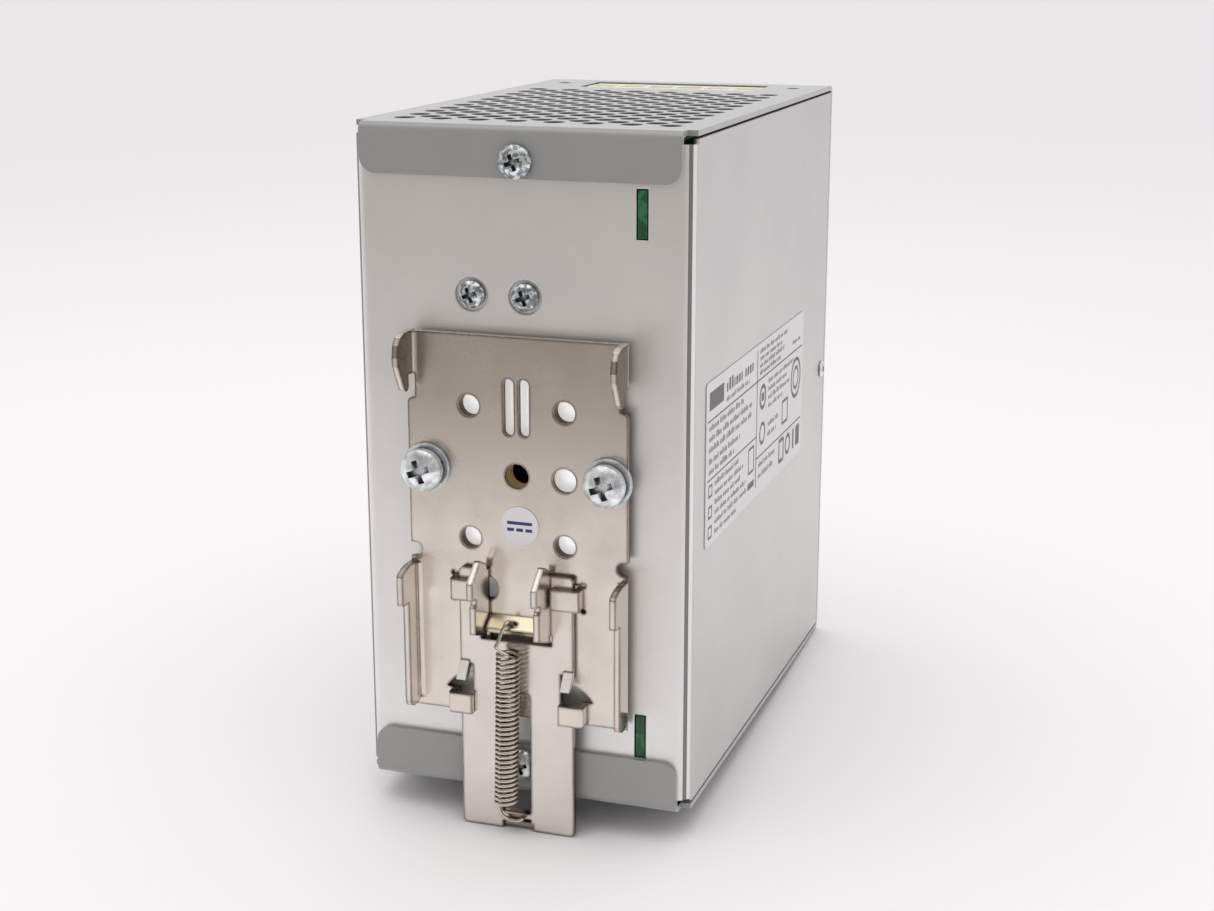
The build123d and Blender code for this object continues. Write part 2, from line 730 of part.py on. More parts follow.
with BuildPart() as secondary_heat_sink:
    with BuildSketch(Plane.XY.offset(22)):
        with BuildLine():
            Polyline(
                (main_board_face + lift, inner_back_y - 0.6), (16.0, inner_back_y - 0.6),
                (16.0, -12.0), (12.0, -12.0), (12.0, -9.0), (main_board_face + lift, -9.0),
                close=True,
            )
        make_face()
    extrude(amount=20)
    with BuildSketch(facing_front(inner_back_y)):
        with Locations(*heat_sink_screws_at):
            Circle(4.2)
    extrude(amount=1.2, mode=Mode.SUBTRACT)
    with BuildSketch(facing_front(inner_back_y)):
        with Locations(*heat_sink_screws_at):
            Circle(1.5)
    extrude(amount=10, mode=Mode.SUBTRACT)
save(secondary_heat_sink, "secondary_heat_sink")
tab_transistors([(0.0, 32.0)], -11.4, 4.4, "output_rectifier")

# ---------------------------------------------------------------- terminals

contact_y = (-98.8, -98.0)
cage_front_y, cage_back_y = -100.9, -93.2
screw_head_y = (-106.3, -104.4)
shelf_back_y = -103.5


def pole_positions(poles):
    """X of each pole, from left to right."""
    return [(i - (poles - 1) / 2) * pole_pitch for i in range(poles)]


def terminal_block(poles, side, prefix):
    """Housing, contacts, captive screws and rising cages of one row of screw terminals."""
    width = poles * pole_pitch - 0.1
    outer_z = side * terminal_outer_z
    screw_z = side * pole_screw_z
    centres = pole_positions(poles)
    housing_front_y = inner_front_y + 0.1
    housing_back_y = terminal_back_y - skin_gap

    with BuildPart() as housing:
        middle_y = (housing_front_y + housing_back_y) / 2
        with Locations((0, middle_y, outer_z - side * terminal_height / 2)):
            Box(width, housing_back_y - housing_front_y, terminal_height)
        for x in centres:
            # cage pocket, wire bore, screwdriver bore, captive shelf hole and contact slot
            with Locations((x, (shelf_back_y - 92.8) / 2, screw_z)):
                Box(5.2, -92.8 - shelf_back_y, 8.6, mode=Mode.SUBTRACT)
            with Locations((x, wire_hole_y, outer_z)):
                Cylinder(wire_hole_radius, 2 * wire_hole_depth + 1, mode=Mode.SUBTRACT)
            with Locations((x, housing_front_y, screw_z)):
                Cylinder(2.15, 2 * (screw_head_y[1] + 0.05 - housing_front_y), rotation=(90, 0, 0),
                         mode=Mode.SUBTRACT)
            with Locations((x, -103.6, screw_z)):
                Cylinder(1.6, 2.4, rotation=(90, 0, 0), mode=Mode.SUBTRACT)
            with Locations((x, contact_y[0] - 0.1, side * 47.0)):
                Box(3.6, terminal_back_y - contact_y[0] + 1, 1.2,
                    align=(Align.CENTER, Align.MIN, Align.CENTER), mode=Mode.SUBTRACT)
            # guide groove between the pole and its neighbour
            with Locations((x + pole_pitch / 2, housing_front_y, screw_z)):
                Box(0.5, 1.0, terminal_height, mode=Mode.SUBTRACT)
    save(housing, f"{prefix}_terminal_housing")

    with BuildPart() as contacts:
        for x in centres:
            with Locations((x, contact_y[0], side * 46.6)):
                Box(3.2, contact_y[1] - contact_y[0], 8.6,
                    align=(Align.CENTER, Align.MIN, Align.MIN if side > 0 else Align.MAX))
                Box(3.2, 9.0, 0.8,
                    align=(Align.CENTER, Align.MIN, Align.MIN if side > 0 else Align.MAX))
            with Locations((x, contact_y[0] + 8.6, side * 46.6)):
                Box(1.4, 5.4, 0.8,
                    align=(Align.CENTER, Align.MIN, Align.MIN if side > 0 else Align.MAX))
    save(contacts, f"{prefix}_terminal_contacts")

    for number, x in enumerate(centres, start=1):
        with BuildPart() as screw:
            with BuildSketch(facing_front(screw_head_y[1])):
                with Locations((x, screw_z)):
                    Circle(1.95)
            extrude(amount=screw_head_y[1] - screw_head_y[0])
            chamfer(edges().filter_by(GeomType.CIRCLE).group_by(Axis.Y)[0], 0.3)
            with BuildSketch(facing_front(contact_y[0] - 0.3)):
                with Locations((x, screw_z)):
                    Circle(1.45)
            extrude(amount=contact_y[0] - 0.3 - screw_head_y[1])
            with Locations((x, screw_head_y[0], screw_z)):
                Box(5.0, 1.6, 0.8, mode=Mode.SUBTRACT)
        save(screw, f"{prefix}_terminal_screw_{number}")

        with BuildPart() as cage:
            with Locations((x, cage_front_y, screw_z)):
                Box(4.9, cage_back_y - cage_front_y, 5.6,
                    align=(Align.CENTER, Align.MIN, Align.CENTER))
            with Locations((x, cage_front_y + 1.4, screw_z)):
                Box(3.8, cage_back_y - cage_front_y - 2.4, 6,
                    align=(Align.CENTER, Align.MIN, Align.CENTER), mode=Mode.SUBTRACT)
            with Locations((x, cage_front_y, screw_z)):
                Cylinder(1.45 + running_gap, 4, rotation=(90, 0, 0), mode=Mode.SUBTRACT)
        save(cage, f"{prefix}_terminal_cage_{number}")


terminal_block(output_poles, 1, "output")
terminal_block(input_poles, -1, "input")

# ---------------------------------------------------------------- controls

board_face_y = front_board_y - 0.1

with BuildPart() as adjuster_body:
    with Locations((adjuster_x, board_face_y, adjuster_z)):
        Box(9.6, 6.0, 9.6, align=(Align.CENTER, Align.MAX, Align.CENTER))
    fillet(edges().filter_by(Axis.Y), 0.8)
    with BuildSketch(facing_front(board_face_y - 6.0)):
        with Locations((adjuster_x, adjuster_z)):
            Circle(3.2)
    extrude(amount=2.0)
    with BuildSketch(facing_front(board_face_y - 4.0)):
        with Locations((adjuster_x, adjuster_z)):
            Circle(1.5 + running_gap)
    extrude(amount=6.0, mode=Mode.SUBTRACT)
save(adjuster_body, "adjuster_body")

knob_face_y = front_y - 0.3
with BuildPart() as adjuster_knob:
    with BuildSketch(facing_front(board_face_y - 4.2)):
        with Locations((adjuster_x, adjuster_z)):
            Circle(1.5)
    extrude(amount=board_face_y - 4.2 - knob_face_y - 3.0)
    with BuildSketch(facing_front(knob_face_y + 3.0)):
        with Locations((adjuster_x, adjuster_z)):
            Circle(2.3)
    extrude(amount=3.0)
    chamfer(edges().filter_by(GeomType.CIRCLE).group_by(Axis.Y)[0], 0.3)
    with Locations((adjuster_x, knob_face_y, adjuster_z)):
        Box(5.0, 1.8, 0.8, mode=Mode.SUBTRACT)
save(adjuster_knob, "adjuster_knob")

with BuildPart() as light_pipes:
    with BuildSketch(facing_front(board_face_y - 2.2)):
        with Locations(*[(light_x, z) for z in light_zs]):
            Circle(1.45)
    extrude(amount=board_face_y - 2.2 - front_y + 0.8)
    fillet(edges().filter_by(GeomType.CIRCLE).group_by(Axis.Y)[0], 0.8)
save(light_pipes, "light_pipes")

with BuildPart() as status_lights:
    with Locations(*[(light_x, board_face_y, z) for z in light_zs]):
        Box(3.2, 2.0, 2.6, align=(Align.CENTER, Align.MAX, Align.CENTER))
save(status_lights, "status_lights")

selector_depth = 9.0
with BuildPart() as selector_body:
    with Locations((selector_x, inner_front_y + 0.1, selector_z)):
        Box(9.0, selector_depth, 17.0, align=(Align.CENTER, Align.MIN, Align.CENTER))
        Box(4.6, 2 * 4.0, 10.6, mode=Mode.SUBTRACT)
    fillet(edges().filter_by(Axis.Y).group_by(SortBy.LENGTH)[-1], 0.5)
    with Locations((selector_x, inner_front_y + 0.1 + selector_depth, selector_z)):
        for step in (-5, 0, 5):
            with Locations((0, 0, step)):
                Box(1.6, 3.5, 0.6, align=(Align.CENTER, Align.MIN, Align.CENTER))
save(selector_body, "selector_body")

with BuildPart() as selector_lever:
    lever_z = selector_z + selector_travel / 2
    with Locations((selector_x, inner_front_y + 4.0, lever_z)):
        Box(4.4, 3.4, 6.2, align=(Align.CENTER, Align.MAX, Align.CENTER))
    with Locations((selector_x, inner_front_y + 0.6, lever_z)):
        Box(4.4, 2.4, 2.6, align=(Align.CENTER, Align.MAX, Align.CENTER))
    fillet(edges().filter_by(Axis.X).group_by(Axis.Y)[0], 0.4)
save(selector_lever, "selector_lever")
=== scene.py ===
"""Looks of the DIN rail power supply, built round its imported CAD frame. Everything is in metres."""

import json
import math
import random

import bmesh
import bpy
from mathutils import Matrix, Vector


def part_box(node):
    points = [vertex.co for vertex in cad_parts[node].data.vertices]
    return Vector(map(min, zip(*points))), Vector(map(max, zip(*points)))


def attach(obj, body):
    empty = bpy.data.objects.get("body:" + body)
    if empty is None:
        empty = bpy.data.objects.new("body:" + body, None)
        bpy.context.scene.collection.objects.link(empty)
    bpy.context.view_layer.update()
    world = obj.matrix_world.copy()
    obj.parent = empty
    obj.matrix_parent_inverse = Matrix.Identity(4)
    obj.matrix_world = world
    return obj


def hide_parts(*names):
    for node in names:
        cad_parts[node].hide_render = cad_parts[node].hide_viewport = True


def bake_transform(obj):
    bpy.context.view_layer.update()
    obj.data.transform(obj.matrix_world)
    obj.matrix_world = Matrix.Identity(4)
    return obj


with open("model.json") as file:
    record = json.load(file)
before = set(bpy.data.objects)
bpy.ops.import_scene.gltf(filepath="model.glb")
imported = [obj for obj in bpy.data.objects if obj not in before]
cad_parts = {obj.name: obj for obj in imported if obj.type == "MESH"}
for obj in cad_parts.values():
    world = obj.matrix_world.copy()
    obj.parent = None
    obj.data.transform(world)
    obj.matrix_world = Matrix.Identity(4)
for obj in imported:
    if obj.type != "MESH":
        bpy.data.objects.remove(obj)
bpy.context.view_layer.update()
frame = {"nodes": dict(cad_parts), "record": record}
nodes = frame["nodes"]
for plain in list(bpy.data.materials):
    bpy.data.materials.remove(plain)

MM = 0.001

# places in the CAD that the looks depend on, in millimetres
CASE_LOW, CASE_HIGH = (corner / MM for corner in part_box("cover"))
WALL_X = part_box("chassis")[1].x / MM
PANEL_Y = -2.5  # outer face of the back panel
PLATE_Y, SLIDER_Y = 0.0, 1.3  # outer faces of the clip plate and of the slider on it
SHEET = 1.0

# parts of a node that look different from the rest of it, in millimetres; each carries painted light or shade
PANEL_BEHIND_HOLES = {"X": (-18, 18), "Y": (PANEL_Y - SHEET, PLATE_Y), "Z": (-24, 22)}
SPRING_TONGUE = {"X": (-5.2, 5.2), "Y": (0.2, 5), "Z": (-29.5, -25.8)}
PLATE_TOP = {"Z": (24.8, 26)}
UPPER_HOOKS = {"Y": (0.4, 7), "Z": (10, 26)}
TAPPED_HOLE = {"X": (-3.6, 3.6), "Y": (-5, -0.4), "Z": (-3.6, 3.6)}
TAPPED_HOLE_RADIUS = 3.4
STOP_TABS = {"Y": (1.5, 4), "Z": (-39.4, -35)}
SCREWS_ABOVE_PLATE = {"Y": (PANEL_Y - SHEET, 3), "Z": (24, 60)}


# ---------------------------------------------------------------- shader graphs


FLAT_DOT, EDGE_DOT = 0.992, 0.92  # a rounded normal against the true one, on a flat face and on an edge
WAVES_PER_UNIT = 3.2  # bands of the wave texture in one unit at scale 1
MAP_RANGE_INPUTS = ("From Min", "From Max", "To Min", "To Max")


class Shader:
    """One procedural material: short calls for the nodes that this scene uses."""

    def __init__(self, name):
        self.material = bpy.data.materials.new(name)
        self.material.use_nodes = True
        self.tree = self.material.node_tree
        self.tree.nodes.clear()
        self.output = self.tree.nodes.new("ShaderNodeOutputMaterial")
        self.surface = self.tree.nodes.new("ShaderNodeBsdfPrincipled")
        self.tree.links.new(self.surface.outputs[0], self.output.inputs["Surface"])
        self.coords = self.tree.nodes.new("ShaderNodeTexCoord").outputs["Object"]

    def put(self, socket, value):
        """Link a socket to another, or set its value."""
        if isinstance(value, bpy.types.NodeSocket):
            self.tree.links.new(value, socket)
        elif socket.type == "RGBA" and len(value) == 3:
            socket.default_value = (*value, 1.0)
        else:
            socket.default_value = value

    def surface_inputs(self, **inputs):
        """Set inputs of the surface: base_color, metallic, roughness and so on."""
        for name, value in inputs.items():
            label = name.replace("_", " ").title().replace("Ior", "IOR")
            self.put(self.surface.inputs[label], value)

    def math(self, operation, a, b=0.0):
        """One operation of the math node."""
        node = self.tree.nodes.new("ShaderNodeMath")
        node.operation = operation
        self.put(node.inputs[0], a)
        self.put(node.inputs[1], b)
        return node.outputs[0]

    def stretched(self, stretch):
        """Object coordinates multiplied by one factor per axis."""
        node = self.tree.nodes.new("ShaderNodeVectorMath")
        node.operation = "MULTIPLY"
        self.put(node.inputs[0], self.coords)
        node.inputs[1].default_value = stretch
        return node.outputs[0]

    def noise(self, size_mm, stretch=(1, 1, 1), detail=3.0, roughness=0.55):
        """Smooth noise whose features are about size_mm across."""
        node = self.tree.nodes.new("ShaderNodeTexNoise")
        self.put(node.inputs["Vector"], self.stretched(stretch))
        node.inputs["Scale"].default_value = 1 / (size_mm * MM)
        node.inputs["Detail"].default_value = detail
        node.inputs["Roughness"].default_value = roughness
        return node.outputs["Fac"]

    def cells(self, size_mm, feature="F1"):
        """Distance within cells about size_mm across: to their middle, or to their edge."""
        node = self.tree.nodes.new("ShaderNodeTexVoronoi")
        self.put(node.inputs["Vector"], self.coords)
        node.feature = feature
        node.inputs["Scale"].default_value = 1 / (size_mm * MM)
        return node.outputs["Distance"]

    def bands(self, size_mm, axis, distortion=0.0):
        """Parallel bands across an axis, one every size_mm."""
        node = self.tree.nodes.new("ShaderNodeTexWave")
        self.put(node.inputs["Vector"], self.coords)
        node.bands_direction = axis
        node.inputs["Scale"].default_value = 1 / (size_mm * MM) / WAVES_PER_UNIT
        node.inputs["Distortion"].default_value = distortion
        return node.outputs["Fac"]

    def span(self, value, low, high, to_low=0.0, to_high=1.0):
        """Map a value's span onto another, clamped."""
        node = self.tree.nodes.new("ShaderNodeMapRange")
        self.put(node.inputs["Value"], value)
        for label, number in zip(MAP_RANGE_INPUTS, (low, high, to_low, to_high)):
            self.put(node.inputs[label], number)
        return node.outputs["Result"]

    def blend(self, factor, a, b):
        """Mix two colours: a at factor 0, b at factor 1."""
        node = self.tree.nodes.new("ShaderNodeMix")
        node.data_type = "RGBA"
        color_a, color_b = (socket for socket in node.inputs if socket.type == "RGBA")
        result = next(socket for socket in node.outputs if socket.type == "RGBA")
        self.put(node.inputs["Factor"], factor)
        self.put(color_a, a)
        self.put(color_b, b)
        return result

    def tint(self, tone, mask, strength, color):
        """Lay a colour over a tone where a mask is 1."""
        return self.blend(self.math("MULTIPLY", mask, strength), tone, color)

    def rounded(self, radius_mm):
        """Normals that are rounded within a radius of each edge."""
        node = self.tree.nodes.new("ShaderNodeBevel")
        node.samples = 6
        node.inputs["Radius"].default_value = radius_mm * MM
        return node.outputs[0]

    def edge_mask(self, radius_mm, wide_mm=None):
        """Round the edges off in the shading; 1 along the edges of the mesh, 0 on flat faces."""
        self.put(self.surface.inputs["Normal"], self.rounded(radius_mm))
        true_normal = self.tree.nodes.new("ShaderNodeNewGeometry").outputs["Normal"]
        node = self.tree.nodes.new("ShaderNodeVectorMath")
        node.operation = "DOT_PRODUCT"
        self.put(node.inputs[0], self.rounded(wide_mm or radius_mm))
        self.put(node.inputs[1], true_normal)
        return self.span(node.outputs["Value"], FLAT_DOT, EDGE_DOT)

    def crevice(self, distance_mm):
        """1 deep in gaps and recesses about this far across, 0 in the open."""
        node = self.tree.nodes.new("ShaderNodeAmbientOcclusion")
        node.samples = 8
        node.inputs["Distance"].default_value = distance_mm * MM
        return self.math("SUBTRACT", 1.0, node.outputs["AO"])

    def facing(self, name):
        """One component of the face's normal."""
        node = self.tree.nodes.new("ShaderNodeSeparateXYZ")
        self.put(node.inputs[0], self.tree.nodes.new("ShaderNodeNewGeometry").outputs["Normal"])
        return node.outputs[name]

    def relief(self, height, strength, depth_mm):
        """Bump the surface by a height between 0 and 1."""
        node = self.tree.nodes.new("ShaderNodeBump")
        node.inputs["Strength"].default_value = strength
        node.inputs["Distance"].default_value = depth_mm * MM
        self.put(node.inputs["Height"], height)
        if self.surface.inputs["Normal"].is_linked:
            self.put(node.inputs["Normal"], self.surface.inputs["Normal"].links[0].from_socket)
        self.put(self.surface.inputs["Normal"], node.outputs[0])

    def axis(self, name):
        """One object coordinate, X, Y or Z."""
        node = self.tree.nodes.new("ShaderNodeSeparateXYZ")
        self.put(node.inputs[0], self.coords)
        return node.outputs[name]

    def zone(self, **spans):
        """1 where each named coordinate lies between its two limits, in millimetres, and 0 elsewhere."""
        mask = 1.0
        for name, (low, high) in spans.items():
            mask = self.math("MULTIPLY", mask, self.math("GREATER_THAN", self.axis(name), low * MM))
            mask = self.math("MULTIPLY", mask, self.math("LESS_THAN", self.axis(name), high * MM))
        return mask


def scaled(color, factor):
    """A paler or darker version of a colour."""
    return tuple(min(1.0, c * factor) for c in color)


def ray_kind(tree, kind):
    """1 for rays of one kind, such as Camera or Glossy."""
    return tree.nodes.new("ShaderNodeLightPath").outputs[f"Is {kind} Ray"]


# ---------------------------------------------------------------- materials


def bare_panel():
    """Satin rolled sheet with a faint grain across the width, with painted highlights along its edges,
    painted shade on the side walls and inside, and a painted glow behind the clip plate's holes.
    """
    s = Shader("bare_panel")
    base = (0.86, 0.845, 0.84)
    edge_highlight = (0.93, 0.93, 0.93)
    black, dark = (0.0, 0.0, 0.0), (0.02, 0.02, 0.02)
    outer_x, inner_x = WALL_X - 0.1, WALL_X - SHEET / 2
    clouds = s.noise(26, detail=4)
    grain = s.noise(0.35, stretch=(0.05, 1.0, 1.0), detail=4, roughness=0.7)
    tone = s.blend(s.span(clouds, 0.35, 0.65), scaled(base, 0.965), scaled(base, 1.03))
    tone = s.blend(s.span(grain, 0.3, 0.7, 0.0, 0.16), tone, scaled(base, 0.86))
    # painted highlight along the edges
    tone = s.tint(tone, s.edge_mask(0.35), 0.55, edge_highlight)
    # painted shade: the side walls are a little darker than the back, and the inside much darker
    walls = s.math("SUBTRACT", 1.0, s.zone(X=(-outer_x, outer_x)))
    tone = s.tint(tone, walls, 0.26, black)
    shaded_inside = s.zone(X=(-inner_x, inner_x), Y=(CASE_LOW.y, PANEL_Y - SHEET / 2))
    tone = s.tint(tone, shaded_inside, 0.75, dark)
    rough = s.span(grain, 0.25, 0.75, 0.36, 0.46)
    s.surface_inputs(base_color=tone, metallic=0.80, roughness=rough)
    s.relief(grain, 0.10, 0.02)
    s.relief(s.noise(60, detail=2), 0.25, 0.35)
    # painted glow: the panel glows behind the plate's upper half, as if light got in there and came out of
    # its holes, but not behind the tapped one
    glow_behind_holes = s.zone(**PANEL_BEHIND_HOLES)
    glow_behind_holes = s.math("MULTIPLY", glow_behind_holes, s.span(s.axis("Z"), -22 * MM, -16 * MM, 0.25, 1.0))
    from_middle = s.math("ADD", s.math("POWER", s.axis("X"), 2.0), s.math("POWER", s.axis("Z"), 2.0))
    outside_hole = s.math("GREATER_THAN", from_middle, (TAPPED_HOLE_RADIUS * MM) ** 2)
    glow_behind_holes = s.math("MULTIPLY", glow_behind_holes, outside_hole)
    reflected = s.math("MULTIPLY", ray_kind(s.tree, "Glossy"), 0.3)
    glow_behind_holes = s.math("MULTIPLY", glow_behind_holes, s.math("ADD", ray_kind(s.tree, "Camera"), reflected))
    s.surface_inputs(emission_color=(1, 0.99, 0.98), emission_strength=s.math("MULTIPLY", glow_behind_holes, 0.52))
    return s.material


def grey_paint():
    """Semi-matt grey coat with fine orange peel; the metal shows thinly at cut edges, and the inside is
    painted in shade.
    """
    s = Shader("grey_paint")
    base, metal, dark = (0.250, 0.252, 0.246), (0.50, 0.50, 0.49), (0.004, 0.004, 0.004)
    peel = s.noise(0.55, detail=2)
    speckle = s.cells(0.5)
    tone = s.blend(s.span(s.noise(18), 0.3, 0.7), scaled(base, 0.975), scaled(base, 1.025))
    tone = s.blend(s.span(speckle, 0.0, 0.18, 0.10, 0.0), tone, scaled(base, 1.5))
    tone = s.tint(tone, s.edge_mask(0.18), 0.3, metal)
    # painted shade: the inside of the cover is painted nearly black, so that the vents read as holes
    shaded_inside = s.zone(
        X=(2 * SHEET - WALL_X, WALL_X - 2 * SHEET), Y=(CASE_LOW.y + SHEET / 5, PANEL_Y - SHEET),
        Z=(CASE_LOW.z + SHEET / 5, CASE_HIGH.z - SHEET / 5),
    )
    tone = s.tint(tone, shaded_inside, 0.96, dark)
    s.surface_inputs(
        base_color=tone, roughness=s.span(peel, 0.3, 0.7, 0.32, 0.42),
        specular_ior_level=s.span(shaded_inside, 0.0, 1.0, 0.6, 0.05),
        coat_weight=s.span(shaded_inside, 0.0, 1.0, 0.8, 0.0), coat_roughness=0.22,
        sheen_weight=s.span(shaded_inside, 0.0, 1.0, 0.3, 0.0), sheen_roughness=0.4,
    )
    s.relief(peel, 0.12, 0.02)
    return s.material


def nickel(name, base, stain_and_shade, face_y, rough):
    """Nickel plate: soft blurred reflections, brown sheared edges and small spots, with painted shade in
    recesses and on the hooks' flanks, and painted highlights on the top edge, the spring tongue, the stop
    tabs and the thread of the tapped hole.
    """
    s = Shader(name)
    straw, gold, top_edge_highlight = (0.98, 0.91, 0.70), (0.95, 0.74, 0.42), (1.0, 0.95, 0.84)
    haze = s.noise(9, detail=5)
    rubs = s.noise(1.2, stretch=(1.0, 1.0, 0.10), detail=5, roughness=0.7)
    spots = s.cells(5.5)
    tone = s.blend(s.span(haze, 0.35, 0.7), base, scaled(base, 0.93))
    tone = s.blend(s.span(spots, 0.0, 0.07, 0.28, 0.0), tone, scaled(base, 0.6))
    # painted highlight: the spring tongue is painted a bright straw colour
    tone = s.tint(tone, s.zone(**SPRING_TONGUE), 0.9, straw)
    # painted highlight: the plate's top edge, where it faces up, is painted bright; other sheared edges are
    # bright near the outer face, then brown
    top_edge = s.math("MULTIPLY", s.zone(**PLATE_TOP), s.span(s.facing("Z"), 0.3, 0.7))
    dull = s.math("SUBTRACT", 1.0, top_edge)
    worn = s.math("MULTIPLY", s.edge_mask(0.14, 0.85), s.span(rubs, 0.32, 0.62, 0.65, 1.0))
    # brown behind the outer face: partly the sheared steel, partly painted shade in holes and recesses
    sheared_and_shaded = s.span(s.axis("Y"), (face_y - 0.30) * MM, (face_y - 0.60) * MM, 0.0, 0.9)
    # painted shade: the upper hooks' flanks are darker than the plate
    sideways = s.span(s.math("ABSOLUTE", s.facing("X")), 0.6, 0.9)
    shaded_flank = s.math("MULTIPLY", s.zone(**UPPER_HOOKS), sideways)
    for mask, strength in ((worn, 0.92), (sheared_and_shaded, 1.0), (shaded_flank, 0.7)):
        tone = s.blend(s.math("MULTIPLY", s.math("MULTIPLY", mask, strength), dull), tone, stain_and_shade)
    # painted glints of the thread in the tapped hole: gold bands, which also glow
    thread_glints = s.math("MULTIPLY", s.zone(**TAPPED_HOLE), s.bands(0.8, axis="Y"))
    tone = s.tint(tone, thread_glints, 0.8, gold)
    s.surface_inputs(
        emission_color=(0.55, 0.36, 0.17), emission_strength=s.math("MULTIPLY", thread_glints, 0.5),
    )
    # painted shade in gaps and recesses
    tone = s.blend(s.span(s.crevice(2.0), 0.5, 0.95, 0.0, 0.55), tone, scaled(stain_and_shade, 0.8))
    tone = s.tint(tone, top_edge, 0.8, top_edge_highlight)
    # the slider's stop tabs catch the light from above
    tabs = s.math("MULTIPLY", s.zone(**STOP_TABS), s.span(s.facing("Z"), 0.3, 0.5))
    tone = s.tint(tone, tabs, 0.9, (0.90, 0.87, 0.84))
    low, high = rough
    s.surface_inputs(
        base_color=tone, metallic=s.span(tabs, 0.0, 1.0, 1.0, 0.3),
        roughness=s.span(haze, 0.3, 0.7, low, high),
    )
    s.relief(s.noise(22, detail=0), 0.1, 0.2)
    return s.material


def spring_nickel():
    """Plated wire with drawing lines, and painted shade where the turns meet."""
    s = Shader("spring_nickel")
    pale, dull, crevice_shade = (0.80, 0.74, 0.66), (0.64, 0.58, 0.50), (0.03, 0.02, 0.014)
    lines = s.noise(0.3, detail=4)
    tone = s.blend(s.span(lines, 0.3, 0.7), pale, dull)
    # painted shade where the turns meet
    tone = s.blend(s.span(s.crevice(0.6), 0.15, 0.5, 0.0, 0.96), tone, crevice_shade)
    s.surface_inputs(base_color=tone, metallic=1.0, roughness=s.span(lines, 0.3, 0.7, 0.16, 0.26))
    s.relief(lines, 0.1, 0.02)
    return s.material


def bright_zinc():
    """Blue passivated zinc: glossy, with patches that drift from blue to straw; painted reflection of the
    room, painted highlights on the edges and painted shade in crevices.
    """
    s = Shader("bright_zinc")
    base, dull, straw = (0.88, 0.93, 0.96), (0.50, 0.53, 0.53), (0.78, 0.72, 0.55)
    room, edge_highlight, crevice_shade = (0.14, 0.17, 0.21), (0.95, 0.96, 0.97), (0.03, 0.045, 0.055)
    patches = s.noise(1.6, detail=4)
    tone = s.blend(s.span(patches, 0.35, 0.65), scaled(base, 1.06), dull)
    tone = s.blend(s.span(s.noise(0.9), 0.55, 0.75, 0.0, 0.3), tone, straw)
    # painted reflection: the screws above the clip plate seem to mirror the dark parts of the room
    room_reflection = s.math("MULTIPLY", s.zone(**SCREWS_ABOVE_PLATE), s.span(s.noise(0.9, detail=2), 0.46, 0.54))
    tone = s.tint(tone, room_reflection, 0.85, room)
    # painted highlight along the edges
    tone = s.tint(tone, s.edge_mask(0.12), 0.5, edge_highlight)
    # painted shade in crevices
    tone = s.blend(s.span(s.crevice(1.3), 0.22, 0.6, 0.0, 0.93), tone, crevice_shade)
    s.surface_inputs(base_color=tone, metallic=0.6, roughness=s.span(patches, 0.3, 0.7, 0.12, 0.22))
    s.relief(s.noise(0.8, detail=3), 0.35, 0.05)
    return s.material


def bare_metal(name, pale, dark, texture, rough, strength, depth_mm):
    """Metal whose tone and gloss follow one texture."""
    s = Shader(name)
    marks = s.noise(**texture)
    low, high = rough
    s.surface_inputs(
        base_color=s.blend(s.span(marks, 0.3, 0.7), pale, dark), metallic=1.0,
        roughness=s.span(marks, 0.3, 0.7, low, high),
    )
    s.relief(marks, strength, depth_mm)
    return s.material


def terminal_steel():
    """Zinc-plated screws and cages, with small tumbling marks."""
    return bare_metal(
        "terminal_steel", (0.66, 0.66, 0.67), (0.48, 0.48, 0.50), {"size_mm": 0.4, "detail": 4},
        rough=(0.22, 0.36), strength=0.15, depth_mm=0.03,
    )


def contact_tin():
    """Matt tin with a soft bloom."""
    return bare_metal(
        "contact_tin", (0.72, 0.71, 0.68), (0.55, 0.54, 0.50), {"size_mm": 0.8, "detail": 4},
        rough=(0.3, 0.45), strength=0.1, depth_mm=0.03,
    )


def sink_aluminium():
    """Extruded aluminium with fine upright lines."""
    return bare_metal(
        "sink_aluminium", (0.66, 0.67, 0.68), (0.50, 0.51, 0.52),
        {"size_mm": 0.25, "stretch": (1.0, 1.0, 0.02), "detail": 4},
        rough=(0.30, 0.44), strength=0.25, depth_mm=0.03,
    )


def moulded(name, base, texture_mm=0.25, rough=(0.42, 0.55), edge_tone=1.35):
    """Moulded plastic with a fine spark texture and slightly paler edges."""
    s = Shader(name)
    spark = s.noise(texture_mm, detail=3)
    tone = s.blend(s.span(s.noise(7, detail=3), 0.3, 0.7), scaled(base, 0.94), scaled(base, 1.05))
    tone = s.tint(tone, s.edge_mask(0.15), 0.5, scaled(base, edge_tone))
    low, high = rough
    s.surface_inputs(base_color=tone, roughness=s.span(spark, 0.3, 0.7, low, high), ior=1.5)
    s.relief(spark, 0.25, 0.02)
    return s.material


def board_green():
    """Solder mask over faint tracks, with pale glass cloth at the cut edge."""
    s = Shader("board_green")
    mask, over_copper, deep = (0.008, 0.063, 0.024), (0.022, 0.15, 0.055), (0.008, 0.06, 0.024)
    cut_edge = (0.10, 0.30, 0.13)
    tracks = s.cells(3.4, feature="DISTANCE_TO_EDGE")
    tone = s.blend(s.span(tracks, 0.06, 0.10), over_copper, mask)
    tone = s.blend(s.span(s.noise(2.0), 0.3, 0.7, 0.0, 0.35), tone, deep)
    tone = s.tint(tone, s.edge_mask(0.2), 0.45, cut_edge)
    s.surface_inputs(base_color=tone, roughness=s.span(s.noise(0.7), 0.3, 0.7, 0.24, 0.40))
    s.relief(s.span(tracks, 0.04, 0.12), 0.3, 0.05)
    return s.material


